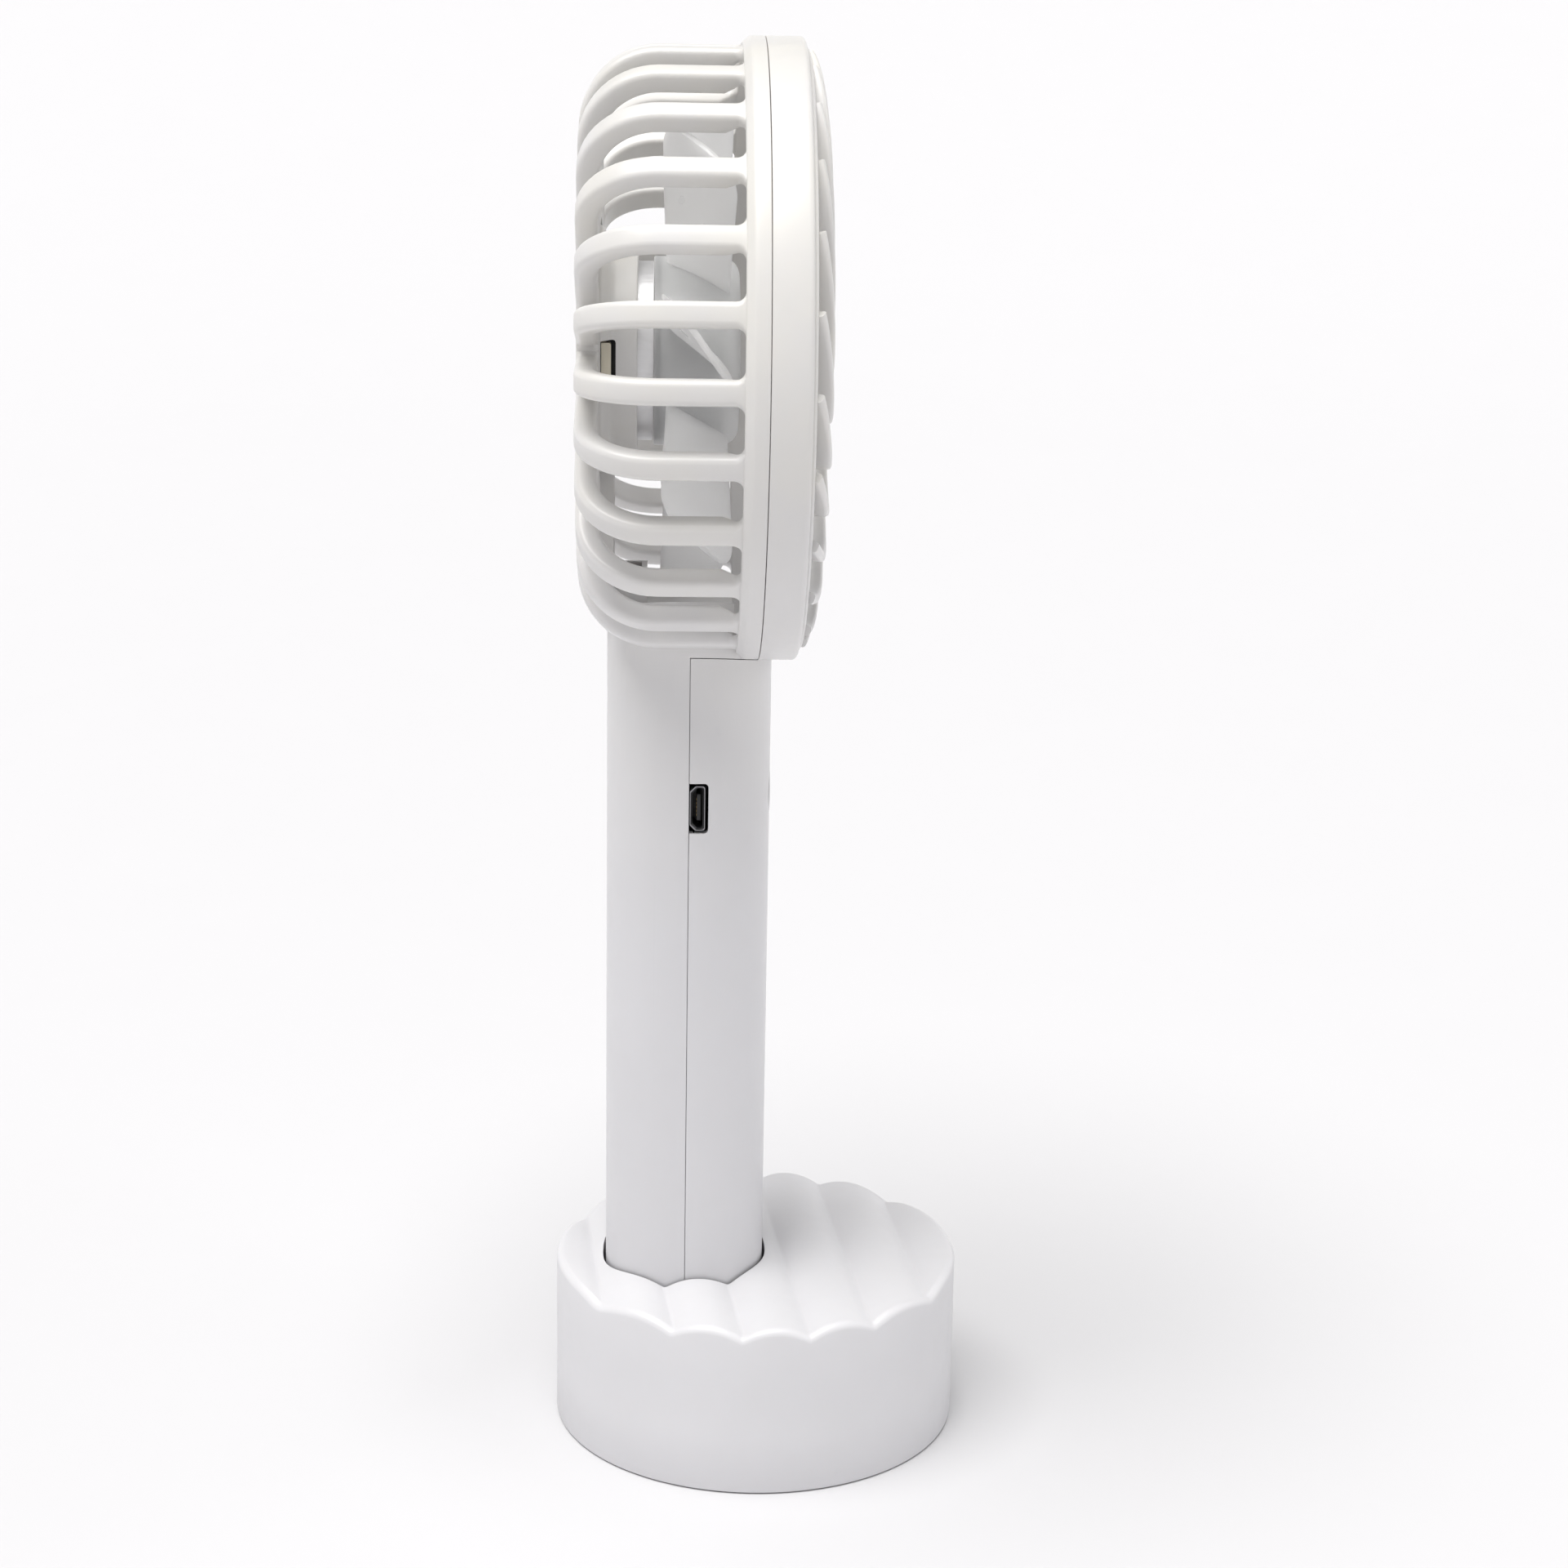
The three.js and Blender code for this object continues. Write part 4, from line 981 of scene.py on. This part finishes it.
def power_button():
    """Round cap with a dished face, a flange behind the housing's wall and a stem."""
    flange = (HANDLE_HALF_X - WALL - 2.2, HANDLE_HALF_X - WALL - 1.1)
    stem_end = corners("power_button")[0].x - HANDLE_X
    face = HANDLE_HALF_X
    dish = [(face - 0.12 - 0.3 * (1 - (r / 3.4) ** 2), r) for r in (3.4, 2.8, 2.1, 1.4, 0.7)]
    profile = [
        (stem_end, 0), (stem_end, 1.5), (flange[0], 1.5), (flange[0], 5.2), (flange[1], 5.2),
        (flange[1], BUTTON_RADIUS), (face - 0.5, BUTTON_RADIUS), (face - 0.18, 4.1), (face - 0.02, 3.85),
        (face, 3.6), *dish, (face - 0.42, 0),
    ]
    button = moved(turn_profile(profile, 96), dz=BUTTON_Z - HEAD_Z)
    add_piece("power_button", button, "button_body", white_plastic, ("power_button",))


def indicator():
    """Clear pin that carries the LED's light to the handle's front."""
    low, high = corners("indicator_light_pipe")
    start, end = low.x - HANDLE_X, high.x - HANDLE_X
    pin = turn_profile([
        (start, 0), (start, 0.9), (end - 0.2, 0.9), (end - 0.05, 0.75), (end, 0.4), (end, 0),
    ], 48)
    add_piece("indicator_light_pipe", moved(pin, dz=LIGHT_Z - HEAD_Z), "fan_body", clear_blades,
              ("indicator_light_pipe",))


def charging_socket():
    """Folded steel shell with a flared lip, and the tongue with its five contacts.

    A thin dark plastic sheet lines the shell's inside as painted shade; it belongs to the tongue's piece.
    """
    low, high = corners("charging_socket_shell")
    mouth, back = low.y, high.y

    def outline(inset):
        x0, x1 = low.x + inset, high.x - inset
        z0, z1 = low.z + inset, high.z - inset
        return rounded([(x0, z0 + 0.9, 0.3), (x0 + 0.9, z0, 0.3), (x1, z0, 0.45), (x1, z1, 0.45),
                        (x0 + 0.9, z1, 0.3), (x0, z1 - 0.9, 0.3)])

    def ring(inset, y):
        return [(x, y, z) for x, z in outline(inset)]

    outside = loft([ring(0, mouth), ring(0, back)])
    inside = loft([ring(0.12, mouth - 1), ring(0.12, mouth + 0.03),
                   ring(0.25, mouth + 0.3), ring(0.25, back - 0.4)])
    add_piece("charging_socket_shell", combine(mesh_of(outside), ("DIFFERENCE", inside)),
              "fan_body", socket_steel, ("charging_socket_shell",))

    # Painted shade: a thin black sheet inside the steel shell darkens the socket's inside.
    socket_shade_lining = combine(mesh_of(loft([ring(0.27, mouth + 0.32), ring(0.27, back - 0.45)])),
                    ("DIFFERENCE", loft([ring(0.36, mouth - 1), ring(0.36, back - 0.6)])))
    low, high = corners("charging_socket_tongue")
    tongue_outline = rounded([(low.y, low.z, 0.25), (high.y, low.z, 0),
                              (high.y, high.z, 0), (low.y, high.z, 0.25)])
    tongue = loft([[(x, y, z) for y, z in tongue_outline] for x in (low.x, high.x)])
    add_piece("charging_socket_tongue", combine(socket_shade_lining, ("UNION", tongue)),
              "fan_body", black_plastic, ("charging_socket_tongue",))

    contact_pitch, contact_half = 0.65, 0.15
    contacts = []
    for i in range(5):
        z = (low.z + high.z) / 2 + (i - 2) * contact_pitch
        contacts.append(block((low.x - 0.08, low.x - 0.01), (low.y + 0.2, high.y - 0.2),
                              (z - contact_half, z + contact_half)))
    add_piece("charging_contacts", together(contacts), "fan_body", bronze, ())


def screw(head_radius, head_height, shank_radius, length):
    """A pan-head screw along +X from under its head, with a cross recess and a thread."""
    dome_points = [(-head_height * math.sin(a), head_radius * math.cos(a) ** 0.5)
                   for a in (TAU / 4 * i / 8 for i in range(8))]
    profile = [(-head_height, 0)] + dome_points[::-1] + [(0, shank_radius)]
    pitch = 0.7
    turns = int((length - 2) / pitch)
    for i in range(turns):
        start = 0.6 + i * pitch
        profile += [(start, shank_radius * 0.75), (start + pitch / 2, shank_radius)]
    profile += [(length - 1, shank_radius * 0.75), (length, 0)]
    arm, slot = head_radius * 0.55, head_radius * 0.14
    depth = (HANDLE_X - head_height - 1, HANDLE_X - head_height * 0.35)
    cross = [("DIFFERENCE", block(depth, (-arm, arm), (HEAD_Z - slot, HEAD_Z + slot))),
             ("DIFFERENCE", block(depth, (-slot, slot), (HEAD_Z - arm, HEAD_Z + arm)))]
    mesh = combine(mesh_of(turn_profile(profile, 40)), *cross)
    mesh.transform(Matrix.Translation(-Vector((HANDLE_X, 0, HEAD_Z)) * MM))
    return mesh


def screws():
    """The two screws in the handle's back and the three in the base's cover."""
    for i, z in enumerate(SCREW_HEIGHTS, 1):
        mesh = screw(2.1, 1.5, 0.9, 12.5)
        mesh.transform(Matrix.Translation(Vector((HANDLE_X - 5.1, 0, z)) * MM))
        add_piece(f"housing_screw_{i}", mesh, "fan_body", steel, (f"housing_screw_{i}",))
    for i in (1, 2, 3):
        low, high = corners(f"base_screw_{i}")
        mesh = screw(2.5, 1.2, 0.95, 10)
        place = Vector(((low.x + high.x) / 2, (low.y + high.y) / 2, low.z + 1.2)) * MM
        mesh.transform(Matrix.Translation(place) @ Matrix.Rotation(-TAU / 4, 4, "Y"))
        add_piece(f"base_screw_{i}", mesh, "stand", steel, (f"base_screw_{i}",))


# ---- Base ----

def wave_height(u):
    """Height of the base's top at a distance u along the row of waves."""
    half = WAVE_PITCH / 2
    rise = WAVE_CREST - WAVE_VALLEY
    radius = (half * half + rise * rise) / (2 * rise)
    off = (u - WAVE_PHASE) % WAVE_PITCH - half
    arch = WAVE_CREST - radius + math.sqrt(radius ** 2 - off ** 2)
    soft = 0.36
    return WAVE_VALLEY + math.sqrt((arch - WAVE_VALLEY) ** 2 + soft ** 2) - soft * 0.3


def base_top():
    """The waved top as a solid block: columns along each groove, then a rounded rim and a wall."""
    edge, edge_steps = 1.3, 6
    station_gap, ends, rows = 0.28, 10, 40
    inner = BASE_RADIUS - edge
    count = int(2 * inner / station_gap)
    shoulder = [inner * math.cos(TAU / 4 * (0.5 + k) / ends / 4) for k in range(ends)]
    between_ends = [-inner + 2 * inner * i / count for i in range(count + 1)]
    stations = [-u for u in shoulder]
    stations += [u for u in between_ends if abs(u) < shoulder[-1]]
    stations += shoulder[::-1]
    points, faces, grid = [], [], []
    for u in stations:
        reach = math.sqrt(inner ** 2 - u ** 2)
        column = []
        for k in range(rows + 1):
            v = -reach * math.cos(math.pi * k / rows)
            column.append(len(points))
            points.append((u, v, wave_height(u)))
        grid.append(column)
    for near, far in zip(grid, grid[1:]):
        for k in range(rows):
            faces.append([near[k], far[k], far[k + 1], near[k + 1]])
    rim = [c[0] for c in grid] + grid[-1][1:] + [c[-1] for c in grid[::-1]][1:] + grid[0][-2:0:-1]
    rings = [rim]
    for step in range(1, edge_steps + 1):
        angle = TAU / 4 * step / edge_steps
        ring = []
        for index in rim:
            u, v, z = points[index]
            grow = (inner + edge * math.sin(angle)) / math.hypot(u, v)
            ring.append(len(points))
            points.append((u * grow, v * grow, z - edge * (1 - math.cos(angle))))
        rings.append(ring)
    bottom = BASE_WALL_BOTTOM - WALL_DROP
    for z, radius in ((20, BASE_RADIUS), (10, BASE_RADIUS), (bottom + 0.4, BASE_RADIUS),
                      (bottom + 0.12, BASE_RADIUS - 0.12), (bottom, BASE_RADIUS - 0.4)):
        ring = []
        for index in rim:
            u, v, _ = points[index]
            scale = radius / math.hypot(u, v)
            ring.append(len(points))
            points.append((u * scale, v * scale, z))
        rings.append(ring)
    size = len(rim)
    for near, far in zip(rings, rings[1:]):
        for i in range(size):
            j = (i + 1) % size
            faces.append([near[i], near[j], far[j], far[i]])
    faces.append(rings[-1])
    # The row of waves, built along X, is turned a little about the base's axis.
    cosine, sine = math.cos(WAVE_TURN), math.sin(WAVE_TURN)
    return [(u * cosine - v * sine, u * sine + v * cosine, z) for u, v, z in points], faces


def at_base_screws(shell):
    """A shell repeated on the axis of each of the base's screws."""
    copies = []
    for i in (1, 2, 3):
        low, high = corners(f"base_screw_{i}")
        copies.append(moved(shell, (low.x + high.x) / 2, (low.y + high.y) / 2))
    return together(copies)


def base():
    """Shell with socket and screw posts, the cover that closes it, and the pad under that."""
    hollow = turn_profile([(-1, 0), (-1, 33), (25, 33), (25.4, 32.6), (25.4, 0)], 192, round_z)
    socket = loft([handle_ring(-2.1, 4), handle_ring(-2.1, 26)])
    bore = loft([handle_ring(-0.5, 5.5), handle_ring(-0.5, 40)])
    post = turn_profile([(3.8, 0), (3.8, 3), (26, 3), (26, 0)], 32, round_z)
    pilot = turn_profile([(0, 0), (0, 1.05), (16, 1.05), (16, 0)], 24, round_z)
    shell = combine(mesh_of(base_top()), ("DIFFERENCE", hollow), ("UNION", socket),
                    ("UNION", at_base_screws(post)), ("DIFFERENCE", at_base_screws(pilot)),
                    ("DIFFERENCE", bore))
    add_piece("base_shell", shell, "stand", base_plastic, ("base_shell",), sharp=28)

    low, high = corners("base_bottom_cover")
    radius = high.x
    cover = turn_profile([
        (high.z, 0), (high.z, radius - 0.2), (high.z - 0.2, radius),
        (low.z + 0.4, radius), (low.z, radius - 0.4), (low.z, 0),
    ], 192, round_z)
    hole = turn_profile([(0, 0), (0, 2.9), (2.7, 2.9), (2.7, 1.3), (10, 1.3), (10, 0)], 48, round_z)
    add_piece("base_bottom_cover", combine(mesh_of(cover), ("DIFFERENCE", at_base_screws(hole))),
              "stand", base_plastic, ("base_bottom_cover",))

    low, high = corners("anti_slip_pad")
    radius = high.x
    pad = turn_profile([
        (high.z, 0), (high.z, radius - 0.1), (high.z - 0.1, radius),
        (0.25, radius), (0, radius - 0.25), (0, 0),
    ], 192, round_z)
    add_piece("anti_slip_pad", pad, "stand", pad_rubber, ("anti_slip_pad",))


rear_housing()
front_housing()
front_grille()
impeller()
motor()
power_button()
indicator()
charging_socket()
screws()
base()


# ---- Floor, backdrop and light ----

def add_floor():
    """A pale floor, flat under the fan and rising gently all around it into a backdrop."""
    flat, reach, rise, sides = 1.2, 9.0, 3.2, 96
    rings = [(0.3, 0.0), (flat, 0.0)]
    for i in range(1, 25):
        out = i / 24
        rings.append((flat + (reach - flat) * out, rise * out ** 1.6))
    points = [(0, 0, 0)]
    for radius, height in rings:
        points += [round_z(height, radius, TAU * k / sides) for k in range(sides)]
    faces = [(0, 1 + k, 1 + (k + 1) % sides) for k in range(sides)]
    for row in range(len(rings) - 1):
        near, far = 1 + row * sides, 1 + (row + 1) * sides
        for k in range(sides):
            j = (k + 1) % sides
            faces.append((near + k, far + k, far + j, near + j))
    mesh = bpy.data.meshes.new("floor")
    mesh.from_pydata(points, [], faces)
    for face in mesh.polygons:
        face.use_smooth = True
    finish = Finish("floor", (0.62, 0.617, 0.63), 0.8)
    finish.set("Specular IOR Level", 0.1)
    finish.rough(finish.between(finish.noise(40, 3), 0.3, 0.7, 0.75, 0.85))
    mesh.materials.append(finish.material)
    floor = bpy.data.objects.new("floor", mesh)
    bpy.context.scene.collection.objects.link(floor)


def add_sun(name, towards_light, spread, strength, color=(1, 1, 1)):
    """A broad soft light from far away; strength is what a white surface facing it reflects."""
    data = bpy.data.lights.new(name, "SUN")
    data.angle = math.radians(spread)
    data.energy = strength * math.pi
    data.color = color
    lamp = bpy.data.objects.new(name, data)
    bpy.context.scene.collection.objects.link(lamp)
    lamp.rotation_euler = Vector(towards_light).to_track_quat("Z", "Y").to_euler()


def add_lights():
    """A dim white surround, the main light from above and a weak one from the front."""
    world = bpy.data.worlds.new("studio")
    world.use_nodes = True
    background = world.node_tree.nodes["Background"]
    background.inputs["Color"].default_value = (1.0, 1.0, 1.0, 1)
    background.inputs["Strength"].default_value = 0.1
    bpy.context.scene.world = world
    add_sun("key", (-0.2, -0.22, 1), 48, 1.33, (1, 0.992, 0.98))
    add_sun("fill", (1, -0.1, 0.4), 70, 0.36)


add_floor()
add_lights()
bpy.context.scene.view_settings.view_transform = "Standard"
